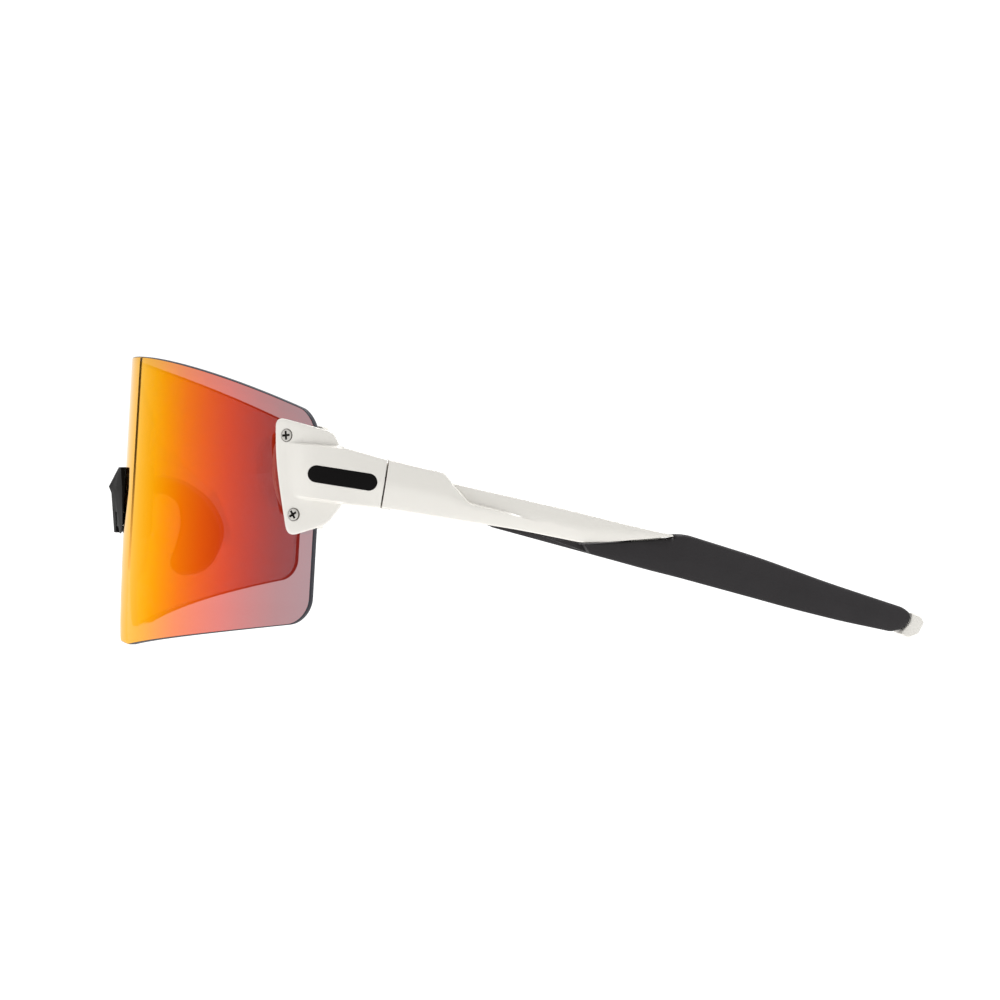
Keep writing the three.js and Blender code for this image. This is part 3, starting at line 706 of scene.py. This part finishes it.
def bend_tree():
    """Geometry nodes that bend a flat blank round a leaning cylinder and give its faces their finishes."""
    tree = bpy.data.node_groups.new("bend_round_lens_axis", "GeometryNodeTree")
    bench = Bench(tree)
    tree.interface.new_socket("Geometry", in_out="OUTPUT", socket_type="NodeSocketGeometry")
    tree.interface.new_socket("Blank", in_out="INPUT", socket_type="NodeSocketGeometry")
    for name in ("Radius", "Lean", "Centre Y", "Centre Z"):
        tree.interface.new_socket(name, in_out="INPUT", socket_type="NodeSocketFloat")
    given = bench.node("NodeGroupInput")
    sizes = ("Radius", "Lean", "Centre Y", "Centre Z")
    radius, lean, centre_y, centre_z = (Wire(bench, given.outputs[name]) for name in sizes)
    along, height, out = bench.split(bench.wire("GeometryNodeInputPosition", "Position"))
    angle = along / radius
    reach = radius + out
    ahead = reach * bench.maths("COSINE", angle) * -1.0
    cos_lean, sin_lean = bench.maths("COSINE", lean), bench.maths("SINE", lean)
    place = bench.wire("ShaderNodeCombineXYZ", "Vector", None, {
        "X": reach * bench.maths("SINE", angle),
        "Y": ahead * cos_lean + height * sin_lean + centre_y,
        "Z": height * cos_lean - ahead * sin_lean + centre_z})
    shape = bench.wire("GeometryNodeSetPosition", "Geometry", None, {
        "Geometry": Wire(bench, given.outputs["Blank"]), "Position": place})
    shape = bench.wire("GeometryNodeRealizeInstances", "Geometry", None, {"Geometry": shape})
    for number, material in enumerate((MIRROR, INNER, EDGE)):
        part = bench.wire("GeometryNodeInputNamedAttribute", "Attribute", {"data_type": "INT"}, {
            "Name": "face_kind"})
        chosen = bench.wire("FunctionNodeCompare", "Result", {"data_type": "INT", "operation": "EQUAL"}, {
            2: part, 3: number})
        shape = bench.wire("GeometryNodeSetMaterial", "Geometry", None, {
            "Geometry": shape, "Selection": chosen, "Material": material})
    bench.node("NodeGroupOutput", None, {"Geometry": shape})
    return tree


def apply_tree(piece, tree, **sizes):
    """Runs a node tree on a piece, with its named inputs set, and keeps the result as a plain mesh."""
    step = piece.modifiers.new(tree.name, "NODES")
    step.node_group = tree
    sockets = {item.name: item.identifier for item in tree.interface.items_tree if item.in_out == "INPUT"}
    for name, value in sizes.items():
        step[sockets[name.replace("_", " ")]] = value
    return settle(piece)


def lens_piece():
    blank = slab(lens_outline(), 0.0, -LENS.thick, (0.3, 0.3), pitch=1.6, ring_pitch=0.5)
    piece = solid("shield", blank[0] - (0, SHIFT_Y, 0), blank[1])
    for degrees, height in SCREWS.values():
        for hand in (1, -1):
            s = hand * math.radians(degrees) * LENS.radius
            hole = Matrix.Translation((s, height - SHIFT_Y, 0))
            combine(piece, "DIFFERENCE", rod(0.85, -4, 4, hole))
    kinds = piece.data.attributes.new("face_kind", "INT", "FACE")
    for face in piece.data.polygons:
        depth = face.center.z / MM
        kinds.data[face.index].value = 0 if depth > -0.05 else 1 if depth < 0.05 - LENS.thick else 2
    for material in (MIRROR, INNER, EDGE):
        piece.data.materials.append(material)
    apply_tree(piece, bend_tree(), Radius=LENS.radius * MM, Lean=LENS.tilt,
               Centre_Y=(LENS.centre[1] + SHIFT_Y) * MM, Centre_Z=LENS.centre[2] * MM)
    combine(piece, "DIFFERENCE", brick(((-90, 90), (-100, 10), (-5, 0)), Matrix()))
    return shade(piece)


# ---------------------------------------------------------------- end pieces, clamps and hinges

def plate_face(points):
    """Outer face of the end plate: round with the lens, then flatter towards the arm."""
    bend = round_lens(LENS.radius + GAP + PLATE_THICK)(points)
    flat = plan(PLATE_FACE)(points)
    soft = 0.25
    return -soft * np.log(np.exp(-(bend - 70) / soft) + np.exp(-(flat - 70) / soft)) + 70


def arm_side(points):
    """Depth inside the raised arm's top and bottom lines."""
    top = near_line(points, np.array(ARM_TOP), closed=False) * -1
    foot = near_line(points, np.array(ARM_BOTTOM), closed=False)
    return np.minimum(top, foot)


def endpiece_face(points):
    plate = plate_face(points)
    arm = plan(ARM_FACE)(points) - crown(points, span_arm, np.interp(points[:, 0], [-34, -27], [0.35, CROWN]))
    rise = np.maximum(arm - plate, 0) * ease(points[:, 0], -44.0, -40.0)
    past_plate = ease(points[:, 0], -33.4, -33.0)
    return plate + rise * np.maximum(chamfer(arm_side(points), 0.5), past_plate)


def span_arm(points):
    top = np.interp(points[:, 0], *np.array(ARM_TOP).T)
    foot = np.interp(points[:, 0], *np.array(ARM_BOTTOM).T)
    return (top + foot) / 2, (top - foot) / 2


def endpiece_inside(points):
    """Inner face of the plate: against the lens, and thin behind it."""
    return np.minimum(round_lens(LENS.radius + GAP)(points), endpiece_face(points) - 1.2)


def shifted(line, distance):
    """An open line moved to its left by distance."""
    ahead = np.gradient(line, axis=0)
    ahead /= np.linalg.norm(ahead, axis=1)[:, None]
    return line + np.stack([-ahead[:, 1], ahead[:, 0]], 1) * distance


def ridge_set(line, distances):
    return [shifted(evenly(open_line(line), 0.35, closed=False), d) for d in distances]


def beyond_seam(side):
    """Everything behind or ahead of the closed joint between arm and temple."""
    return brick(((-30, 30), sorted((-side * SEAM / 2, side * 200)), (-80, 80)), HINGE_FRAME)


def mark_joint(piece):
    """Paints shade on the closed faces of the joint: a darker finish that stands for the shadow in the seam
    gap.
    """
    away = HINGE_FRAME.inverted()
    for face in piece.data.polygons:
        place = away @ (face.center / MM - Vector((0, SHIFT_Y, 0)))
        square_on = abs((away.to_3x3() @ face.normal).y) > 0.99
        if square_on and abs(abs(place.y) - SEAM / 2) < 0.005:
            face.material_index = 1
    return piece


def knuckle(reach, low, high):
    """One leaf of the hinge: an eye round the pin and its root."""
    eye = rod(2.0, low, high, HINGE_FRAME)
    root = brick(((-1.2, 2.6), sorted((0, reach)), (low, high)), HINGE_FRAME)
    return combine(eye, "UNION", root)


def inlay_outline(grow, steps=16):
    half, rise = INLAY.length / 2 + grow, INLAY.height / 2 + grow
    turns = np.linspace(-math.pi / 2, math.pi / 2, steps)
    cap = np.column_stack([half - rise + rise * np.cos(turns), rise * np.sin(turns)])
    flat = np.vstack([cap, -cap])
    c, s = math.cos(HINGE_TILT), math.sin(HINGE_TILT)
    return np.column_stack([
        INLAY.y + flat[:, 0] * c + flat[:, 1] * s, INLAY.z - flat[:, 0] * s + flat[:, 1] * c])


def endpiece_piece():
    depths = (0.6, 0.5, 0.35, 0.2, 0.05, -0.05)
    ridges = ridge_set(ARM_TOP, [-d for d in depths]) + ridge_set(ARM_BOTTOM, depths)
    body = slab(rounded(ENDPIECE_OUTLINE), endpiece_face, endpiece_inside, (0.4, 0.15), 0.8, 0.25, ridges)
    piece = solid("end_cap_left", sideways(body[0]), body[1])
    root = slab(rounded(ARM_ROOT), lambda p: endpiece_face(p) - 0.7, 66.2, (0, 0.3), 0.9, 0.3)
    combine(piece, "UNION", solid("root", sideways(root[0]), root[1]))
    combine(piece, "DIFFERENCE", beyond_seam(1), rod(2.3, -8.7, 8.7, HINGE_FRAME))
    for low, high in ((1.9, 3.9), (-3.9, -1.9)):
        combine(piece, "UNION", knuckle(-5, low, high))
    combine(piece, "DIFFERENCE", rod(0.8, -8.7, 8.7, HINGE_FRAME))
    for degrees, height in SCREWS.values():
        seat = GAP + PLATE_THICK - 0.5
        hole = turned([(0.85, -4), (0.85, seat), (1.22, seat), (1.24, 8)], on_lens(degrees, height))
        combine(piece, "DIFFERENCE", hole)
    pocket = slab(inlay_outline(0.06), 80.0, 69.3, (0, 0), 2.0)
    combine(piece, "DIFFERENCE", solid("pocket", sideways(pocket[0]), pocket[1]))
    return mark_joint(shade(piece, WHITE, SEAM_SHADE))


def inlay_piece():
    top = lambda points: endpiece_face(points) + 0.02
    body = slab(inlay_outline(0.0), top, lambda points: top(points) - 0.9, (0.1, 0.05), 0.8, 0.3)
    return shade(solid("arm_inlay_left", sideways(body[0]), body[1]), INK)


CLAMP_OUTLINE = [
    (-4.2, 12.6, 1.5), (-7.0, 10.4, 1.5), (-7.6, 6.2, 2), (-7.1, 1.4, 2), (-5.8, -2.4, 1.8),
    (-3.6, -6.0, 1.5), (2.8, -6.6, 0.6), (2.8, 12.2, 0.6),
]


def clamp_piece():
    """The plate behind the lens that the screws pull against."""
    outer = -LENS.thick - GAP
    flat = slab(rounded(CLAMP_OUTLINE), outer, outer - BACK_THICK, (0.15, 0.5), 1.0)
    angle = math.radians(58) + flat[0][:, 0] / LENS.radius
    reach = LENS.radius + flat[0][:, 2]
    points = [LENS_FRAME @ Vector((r * math.sin(a), -r * math.cos(a), h))
              for a, r, h in zip(angle, reach, flat[0][:, 1])]
    piece = solid("clamp_plate_left", points, flat[1])
    for degrees, height in SCREWS.values():
        combine(piece, "DIFFERENCE", rod(1.7, -12, 4, on_lens(degrees, height)))
    return shade(piece, WHITE)


def axle_piece():
    """The hinge pin, with a slotted head."""
    profile = [(0.55, -3.9), (0.7, -3.75), (0.7, 4.0), (1.1, 4.0), (1.2, 4.1), (1.2, 4.3), (1.0, 4.4)]
    pin = turned(profile, HINGE_FRAME)
    return shade(combine(pin, "DIFFERENCE", brick(((-1.5, 1.5), (-0.2, 0.2), (4.2, 5)), HINGE_FRAME)), STEEL)


# ---------------------------------------------------------------- temples

def temple_face(points):
    """Outer face of the white temple: the thick front panel steps down to the band on a diagonal."""
    step = STEP_DEPTH * (1 - ease(points[:, 0], -12.0, 4.0))
    ahead = near_line(points, open_line(STEP_LINE), closed=False) * -1
    past = ease(points[:, 0], -14.0, -13.3)
    drop = step * (1 - chamfer(ahead + 0.02, 0.36)) * past
    return temple_out(points) - crown(points, TEMPLE_SPAN, CROWN) - drop


TEMPLE_SPAN = span(rounded(TEMPLE_OUTLINE))


def temple_inside(points):
    depth = np.interp(points[:, 0], [-22, 11], [6, 4])
    return temple_out(points) - depth + crown(points, TEMPLE_SPAN, 0.3)


def temple_piece():
    ridges = ridge_set(STEP_LINE, (0.1, 0.03, -0.02, -0.12, -0.22, -0.33, -0.4))
    thin_end = lambda points: np.interp(points[:, 0], [12, 27.6], [1.0, 0.2])
    body = slab(
        rounded(TEMPLE_OUTLINE), temple_face, temple_inside, (0.3, 0.45), 0.9, 0.2, ridges, fade=thin_end)
    piece = solid("temple_left_shell", sideways(body[0]), body[1])
    combine(piece, "DIFFERENCE", beyond_seam(-1), rod(2.3, -8.7, 8.7, HINGE_FRAME))
    combine(piece, "UNION", knuckle(5, -1.6, 1.6))
    combine(piece, "DIFFERENCE", rod(0.8, -8.7, 8.7, HINGE_FRAME))
    stem = slab(rounded(STEM_OUTLINE), under_temple(1.95), under_temple(4.25), (0.2, 0.2), 2.5)
    tip = slab(rounded(TIP_OUTLINE), under_temple(0.95), under_temple(5.25), (0.3, 0.3), 0.8, 0.25)
    for part in (stem, tip):
        combine(piece, "UNION", solid("part", sideways(part[0]), part[1]))
    return mark_joint(shade(piece, WHITE, SEAM_SHADE))


def sleeve_face(points):
    swell = 0.12 * ease(points[:, 0], 26, 32)
    thinned = np.interp(points[:, 0], [60, 77], [0, 0.5])
    return temple_out(points) - thinned - crown(points, SLEEVE_SPAN, 0.7) + swell


SLEEVE_SPAN = span(rounded(SLEEVE_OUTLINE))


def sleeve_inside(points):
    depth = np.interp(points[:, 0], [11, 76], [6.6, 5.6])
    return temple_out(points) - depth + crown(points, SLEEVE_SPAN, 0.9)


def sleeve_piece():
    thin_end = lambda points: np.interp(points[:, 0], [11, 27], [0.3, 1.0])
    body = slab(rounded(SLEEVE_OUTLINE), sleeve_face, sleeve_inside, (0.5, 1.0), 1.0, 0.25, fade=thin_end)
    piece = solid("ear_grip_left", sideways(body[0]), body[1])
    within = lambda points: sleeve_inside(points) + 0.4
    tongue = slab(rounded(SLEEVE_TONGUE), under_temple(3.4), within, (0.1, 0.15), 1.0, 0.3)
    combine(piece, "UNION", solid("tongue", sideways(tongue[0]), tongue[1]))
    hollow = slab(rounded(CAVITY_OUTLINE), under_temple(1.6), under_temple(4.6), (0, 0), 3.0)
    combine(piece, "DIFFERENCE", solid("hollow", sideways(hollow[0]), hollow[1]))
    return shade(piece, RUBBER)


# ---------------------------------------------------------------- nose parts

def splayed(points):
    """Turns pad points, drawn upright about the pivot's line, to the pad's splayed place."""
    x, z = points[:, 0], points[:, 2] - NOSE_PIVOT[1]
    c, s = math.cos(-PAD_SPLAY), math.sin(-PAD_SPLAY)
    return np.column_stack([x * c + z * s + NOSE_PIVOT[0], points[:, 1], z * c - x * s + NOSE_PIVOT[1]])


def wire_route():
    bend = np.linspace(0, 1, 14)[:, None]
    start, corner, end = np.array([[0, -66.5, 0], [0, -62.4, 0], [0, -61.4, -5]], float)
    curve = (1 - bend) ** 2 * start + 2 * bend * (1 - bend) * corner + bend ** 2 * end
    return np.vstack([[0, -73.6, 0], curve, [0, -60.9, -9]]) + (0, 0, NOSE_PIVOT[1])


def tube(route, radius, sides=16):
    """A round bar along a route in a plane x = 0, as points and faces."""
    ahead = np.gradient(route, axis=0)
    ahead /= np.linalg.norm(ahead, axis=1)[:, None]
    across = np.array([1.0, 0, 0])
    points, faces = [], []
    for place, run in zip(route, ahead):
        up = np.cross(across, run)
        for k in range(sides):
            a = 2 * math.pi * k / sides
            points.append(place + radius * (math.cos(a) * across + math.sin(a) * up))
    for ring in range(len(route) - 1):
        for k in range(sides):
            j = (k + 1) % sides
            faces.append((ring * sides + k, ring * sides + j, (ring + 1) * sides + j, (ring + 1) * sides + k))
    faces.append(list(range(sides))[::-1])
    faces.append([(len(route) - 1) * sides + k for k in range(sides)])
    return np.array(points), faces


def pad_piece():
    """A crescent of soft rubber, thick in its middle and rounded all round."""
    ring = through(PAD_OUTLINE)
    bulge = lambda points: 1.3 - 0.35 * np.exp(-np.abs(near_line(points, ring)) / 1.2)
    body = slab(ring, bulge, lambda points: -bulge(points), (0.75, 0.75), 0.8, 0.35, steps=6)
    piece = solid("soft_nose_pad_left", splayed(sideways(body[0])), body[1])
    points, faces = tube(wire_route(), 0.56)
    combine(piece, "DIFFERENCE", solid("bore", splayed(points), faces))
    return shade(piece, PAD_RUBBER)


def wire_piece():
    points, faces = tube(wire_route(), 0.5)
    return shade(solid("pad_wire_left", splayed(points), faces), STEEL)


def softened(node, name, material, width, angle=30):
    """A copy of a frame node with its corners rounded off."""
    piece = frame["nodes"][node].copy()
    piece.data = piece.data.copy()
    piece.name = name
    piece.parent = None
    for key in list(piece.keys()):
        del piece[key]
    bpy.context.scene.collection.objects.link(piece)
    piece.data.materials.clear()
    work = bmesh.new()
    work.from_mesh(piece.data)
    bmesh.ops.remove_doubles(work, verts=work.verts, dist=2e-6)
    bmesh.ops.dissolve_limit(work, angle_limit=math.radians(1.5), verts=work.verts, edges=work.edges)
    work.to_mesh(piece.data)
    work.free()
    round_off = piece.modifiers.new("round_off", "BEVEL")
    round_off.width = width * MM
    round_off.segments = 3
    round_off.limit_method = "ANGLE"
    round_off.angle_limit = math.radians(angle)
    round_off.use_clamp_overlap = True
    settle(piece)
    return shade(piece, material)


# ---------------------------------------------------------------- screws and inserts

def place_tree(name, sizes, shape, material):
    """Geometry nodes that set one small turned part on every point, along the point's own axis."""
    tree = bpy.data.node_groups.new(name, "GeometryNodeTree")
    bench = Bench(tree)
    tree.interface.new_socket("Geometry", in_out="OUTPUT", socket_type="NodeSocketGeometry")
    tree.interface.new_socket("Places", in_out="INPUT", socket_type="NodeSocketGeometry")
    for size in sizes:
        tree.interface.new_socket(size, in_out="INPUT", socket_type="NodeSocketFloat")
    given = bench.node("NodeGroupInput")
    part = shape(bench, {size: Wire(bench, given.outputs[size]) for size in sizes})
    turn = bench.wire("GeometryNodeInputNamedAttribute", "Attribute", {"data_type": "FLOAT_VECTOR"}, {
        "Name": "turn"})
    turn = bench.wire("FunctionNodeEulerToRotation", "Rotation", None, {"Euler": turn})
    spread = bench.wire("GeometryNodeInstanceOnPoints", "Instances", None, {
        "Points": Wire(bench, given.outputs["Places"]), "Instance": part, "Rotation": turn})
    whole = bench.wire("GeometryNodeRealizeInstances", "Geometry", None, {"Geometry": spread})
    dark = bench.wire("GeometryNodeMaterialSelection", "Selection", None, {"Material": SHADE})
    rest = bench.wire("FunctionNodeBooleanMath", "Boolean", {"operation": "NOT"}, {0: dark})
    whole = bench.wire("GeometryNodeSetMaterial", "Geometry", None, {
        "Geometry": whole, "Selection": rest, "Material": material})
    bench.node("NodeGroupOutput", None, {"Geometry": whole})
    return tree


def cone(bench, low_radius, high_radius, base, height, sides=48):
    """A closed turned section from base, up by height."""
    section = bench.wire("GeometryNodeMeshCone", "Mesh", {"fill_type": "NGON"}, {
        "Vertices": sides, "Radius Top": high_radius, "Radius Bottom": low_radius, "Depth": height})
    lift = bench.wire("ShaderNodeCombineXYZ", "Vector", None, {"Z": base})
    return bench.wire("GeometryNodeTransform", "Geometry", None, {"Geometry": section, "Translation": lift})


def fuse(bench, operation, first, others):
    settings = {"operation": operation, "solver": "EXACT"}
    node = bench.node("GeometryNodeMeshBoolean", settings)
    many = node.inputs["Mesh 2"]
    if operation == "UNION":
        others = [first, *others]
    else:
        bench.tree.links.new(first.socket, node.inputs["Mesh 1"])
    for other in others:
        bench.tree.links.new(other.socket, many)
    return Wire(bench, node.outputs["Mesh"])


def screw_shape(bench, size):
    """A low cross-head screw, its seat at z = 0."""
    head, rise, chamfer = size["Head Radius"], size["Head Height"], size["Chamfer"]
    drum = cone(bench, head, head, 0.0, rise - chamfer)
    dome = cone(bench, head, head - chamfer * 1.6, rise - chamfer - 0.00001, chamfer + 0.00001)
    thin, length = size["Shank Radius"], size["Shank Length"]
    shank = cone(bench, thin, thin, length * -1.0, length + 0.0001)
    slots = []
    for turned_round in (False, True):
        sides = [size["Slot Length"], size["Slot Width"]]
        across, along = sides[::-1] if turned_round else sides
        box_size = bench.wire("ShaderNodeCombineXYZ", "Vector", None, {"X": across, "Y": along, "Z": rise})
        bar = bench.wire("GeometryNodeMeshCube", "Mesh", None, {"Size": box_size})
        lift = bench.wire("ShaderNodeCombineXYZ", "Vector", None, {"Z": rise * 0.92})
        slots.append(bench.wire("GeometryNodeTransform", "Geometry", None, {
            "Geometry": bar, "Translation": lift}))
    body = fuse(bench, "UNION", drum, [dome, shank])
    part = fuse(bench, "DIFFERENCE", body, slots)
    x, y, z = bench.split(bench.wire("GeometryNodeInputPosition", "Position"))
    # The slot walls get the near-black finish as painted shade.
    recess = bench.maths("LESS_THAN", bench.maths("SQRT", x * x + y * y), size["Slot Length"] * 0.52)
    recess = recess * bench.maths("GREATER_THAN", z, rise * 0.2) * bench.maths("LESS_THAN", z, rise * 0.97)
    return bench.wire("GeometryNodeSetMaterial", "Geometry", None, {
        "Geometry": part, "Selection": recess, "Material": SHADE})


def insert_shape(bench, size):
    """A threaded brass insert: a bored drum with two grip collars."""
    length, radius = size["Length"], size["Radius"]
    drum = cone(bench, radius * 0.9, radius * 0.9, 0.0, length)
    collars = [cone(bench, radius, radius, length * start, length * 0.34, 24) for start in (0.03, 0.62)]
    body = fuse(bench, "UNION", drum, collars)
    bore = cone(bench, size["Bore"], size["Bore"], length * -0.5, length * 2.0)
    return fuse(bench, "DIFFERENCE", body, [bore])


def point_cloud(name, frames):
    """An object whose points carry the turn of each frame."""
    mesh = bpy.data.meshes.new(name)
    mesh.from_pydata([(f.translation + Vector((0, SHIFT_Y, 0))) * MM for f in frames], [], [])
    turns = mesh.attributes.new("turn", "FLOAT_VECTOR", "POINT")
    for i, f in enumerate(frames):
        turns.data[i].vector = f.to_euler()
    piece = bpy.data.objects.new(name, mesh)
    bpy.context.scene.collection.objects.link(piece)
    return piece


def both_sides(depth, twists):
    """Frames of the lens fixings on the left and on the right, at a depth from the lens's face."""
    frames = []
    for hand in (1, -1):
        for (degrees, height), twist in zip(SCREWS.values(), twists):
            spin = Matrix.Rotation(math.radians(twist * hand), 4, "Z")
            frames.append(on_lens(hand * degrees, height) @ Matrix.Translation((0, 0, depth)) @ spin)
    return frames


def screw_piece():
    seat = GAP + PLATE_THICK - 0.5 + 0.05
    piece = point_cloud("lens_screw_set", both_sides(seat, (8, 34)))
    sizes = ("Head Radius", "Head Height", "Chamfer", "Shank Radius", "Shank Length", "Slot Width",
             "Slot Length")
    tree = place_tree("cross_head_screws", sizes, screw_shape, STEEL)
    reach = seat + LENS.thick + GAP + BACK_THICK - 0.2
    apply_tree(piece, tree, Head_Radius=1.08 * MM, Head_Height=0.7 * MM, Chamfer=0.15 * MM,
               Shank_Radius=0.65 * MM, Shank_Length=reach * MM, Slot_Width=0.42 * MM,
               Slot_Length=1.6 * MM)
    return shade(piece, angle=25)


def insert_piece():
    low = -LENS.thick - GAP - 0.2 - 1.9
    piece = point_cloud("clamp_insert_set", both_sides(low, (0, 0)))
    tree = place_tree("threaded_inserts", ("Length", "Radius", "Bore"), insert_shape, BRASS)
    apply_tree(piece, tree, Length=1.9 * MM, Radius=1.4 * MM, Bore=0.95 * MM)
    return shade(piece, angle=25)


# ---------------------------------------------------------------- pieces and bodies

def stand_in(piece, body, slot, *nodes):
    """piece takes the place of frame nodes on a body."""
    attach(piece, body)
    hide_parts(*nodes)
    return piece


def pair(piece, body, slot, node):
    """The same for a left-side piece and its mirror image. {} stands for the side's name."""
    name = piece.name.replace("left", "right")
    twin = mirrored(piece, name)
    for side, one in (("left", piece), ("right", twin)):
        stand_in(one, body.format(side), slot, node.format(side))
    return piece, twin


stand_in(lens_piece(), "front", "mirror_lens", "shield_lens")
stand_in(softened("bridge_cover", "bridge_keel", SATIN, 0.35), "front", "satin_black", "bridge_cover")
stand_in(softened("nose_saddle", "nose_bracket", SATIN, 0.15), "front", "satin_black", "nose_saddle")
FIXINGS = [f"{side}_{height}" for side in ("left", "right") for height in SCREWS]
stand_in(screw_piece(), "front", "steel", *(f"lens_screw_{fixing}" for fixing in FIXINGS))
stand_in(insert_piece(), "front", "brass", *(f"lens_insert_{fixing}" for fixing in FIXINGS))
pair(endpiece_piece(), "front", "white_gloss", "endpiece_{}")
pair(clamp_piece(), "front", "white_gloss", "backplate_{}")
pair(inlay_piece(), "front", "accent_black", "accent_{}")
axle = axle_piece()
axle.name = "hinge_axle_left"
pair(axle, "front", "steel", "hinge_pin_{}")
pair(temple_piece(), "temple_{}", "white_gloss", "temple_arm_{}")
pair(sleeve_piece(), "temple_{}", "rubber_black", "temple_sleeve_{}")
for pad in pair(pad_piece(), "pad_{}", "pad_rubber", "nose_pad_{}"):
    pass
pair(wire_piece(), "pad_{}", "steel", "nose_wire_{}")


# ---------------------------------------------------------------- studio

def softbox(name, place, aim, size, glow):
    """A rectangular light that isn't seen itself."""
    light = bpy.data.lights.new(name, "AREA")
    light.shape = "RECTANGLE"
    light.size, light.size_y = size
    light.energy = glow * math.pi * size[0] * size[1]
    lamp = bpy.data.objects.new(name, light)
    lamp.location = place
    lamp.rotation_euler = (Vector(aim) - Vector(place)).to_track_quat("-Z", "Y").to_euler()
    lamp.visible_camera = False
    bpy.context.scene.collection.objects.link(lamp)
    return lamp


ROOM_GLOW = 0.4
SEEN_WHITE = 1.1
UPPER_WHITE = 0.9
FLOOR_GLOW = 1.4


def floor_shader(bench):
    """A pale light table: it glows enough to look white, and shows only the faintest contact shadows."""
    place = bench.wire("ShaderNodeTexCoord", "Object")
    tone = bench.blend(bench.noise(place, 3.0), (0.24, 0.24, 0.24), (0.26, 0.26, 0.26))
    lit = bench.wire("ShaderNodeBsdfPrincipled", "BSDF", None, {
        "Base Color": tone, "Roughness": 0.9, "Specular IOR Level": 0.0,
        "Emission Color": (1, 1, 1, 1), "Emission Strength": FLOOR_GLOW})
    plain = bench.wire("ShaderNodeEmission", "Emission", None, {
        "Color": (1, 1, 1, 1), "Strength": SEEN_WHITE})
    seen = bench.wire("ShaderNodeLightPath", "Is Camera Ray")
    mirrored_in = bench.wire("ShaderNodeLightPath", "Is Glossy Ray")
    return bench.wire("ShaderNodeMixShader", "Shader", None, {0: seen * 0.8 + mirrored_in, 1: lit, 2: plain})


def strip_shader(bench):
    """A dark strip that fades towards the floor."""
    z = bench.split(bench.wire("ShaderNodeTexCoord", "Object"))[2]
    grain = bench.noise(bench.wire("ShaderNodeTexCoord", "Object"), 20.0) * 0.04
    glow = bench.wire("ShaderNodeMapRange", "Result", {"interpolation_type": "SMOOTHSTEP"}, {
        0: z, 1: -0.01, 2: 0.07, 3: SEEN_WHITE, 4: 0.04})
    return bench.wire("ShaderNodeEmission", "Emission", None, {
        "Color": (1, 0.85, 0.7, 1), "Strength": glow + grain})


def stage_panel(name, corners, material):
    mesh = bpy.data.meshes.new(name)
    mesh.from_pydata(corners, [], [(0, 1, 2, 3)])
    mesh.materials.append(material)
    panel = bpy.data.objects.new(name, mesh)
    bpy.context.scene.collection.objects.link(panel)
    return panel


def studio():
    world = bpy.data.worlds.new("pale_room")
    world.use_nodes = True
    bench = Bench(world.node_tree)
    seen = bench.wire("ShaderNodeLightPath", "Is Camera Ray")
    mirrored_in = bench.wire("ShaderNodeLightPath", "Is Glossy Ray")
    height = bench.split(bench.wire("ShaderNodeTexCoord", "Generated"))[2]
    up = bench.wire("ShaderNodeMapRange", "Result", {"interpolation_type": "SMOOTHSTEP"}, {
        0: height, 1: 0.0, 2: 0.17, 3: SEEN_WHITE, 4: UPPER_WHITE})
    glow = seen * (SEEN_WHITE - ROOM_GLOW) + mirrored_in * (up - ROOM_GLOW) + ROOM_GLOW
    room = bench.wire("ShaderNodeBackground", "Background", None, {"Color": (1, 1, 1, 1), "Strength": glow})
    bench.node("ShaderNodeOutputWorld", None, {"Surface": room})
    bpy.context.scene.world = world
    reach = 8.0
    stage_panel("floor", [(-reach, -reach, 0), (reach, -reach, 0), (reach, reach, 0), (-reach, reach, 0)],
                finish("pale_floor", floor_shader))
    for name, place, size, glow in (("back_wall", (-1.1, 0.1, 0.75), (3.0, 1.5), 1.6),
                                    ("front_wall", (0.0, -1.0, 0.55), (2.0, 1.1), 0.9)):
        softbox(name, place, (0, 0, 0.05), size, glow).visible_glossy = False
    softbox("overhead", (-0.12, 0.3, 0.92), (0, 0, 0.03), (0.7, 0.5), 10.0)
    post = Vector((0.021, -0.079, 0)) + Vector((-0.88, -0.476, 0)) * 0.6
    across = Vector((-0.476, 0.88, 0)) * 0.016
    low, high = Vector((0, 0, -0.02)), Vector((0, 0, 0.2))
    card = stage_panel("dark_strip", [post - across + low, post + across + low, post + across + high,
                                      post - across + high], finish("dark_card", strip_shader))
    card.visible_camera = card.visible_diffuse = card.visible_shadow = card.visible_transmission = False


def camera():
    """The camera at the wearer's left, level with the lens, a little ahead of its middle."""
    place = Vector((386.44, -47.40, 35.60)) * MM
    aim = Vector((0, 4.79, 27.10)) * MM
    back = (place - aim).normalized()
    right = Vector((0, 0.01815, 0.99984)).cross(back).normalized()
    turn = Matrix((right, back.cross(right), back)).transposed().to_4x4()
    turn.translation = place
    data = bpy.data.cameras.new("camera")
    data.lens = 63.18
    data.sensor_width = 36.0
    data.clip_start = 0.01
    eye = bpy.data.objects.new("camera", data)
    eye.matrix_world = turn
    bpy.context.scene.collection.objects.link(eye)
    bpy.context.scene.camera = eye


studio()
camera()
bpy.context.scene.view_settings.view_transform = "Standard"
bpy.context.scene.view_settings.look = "None"
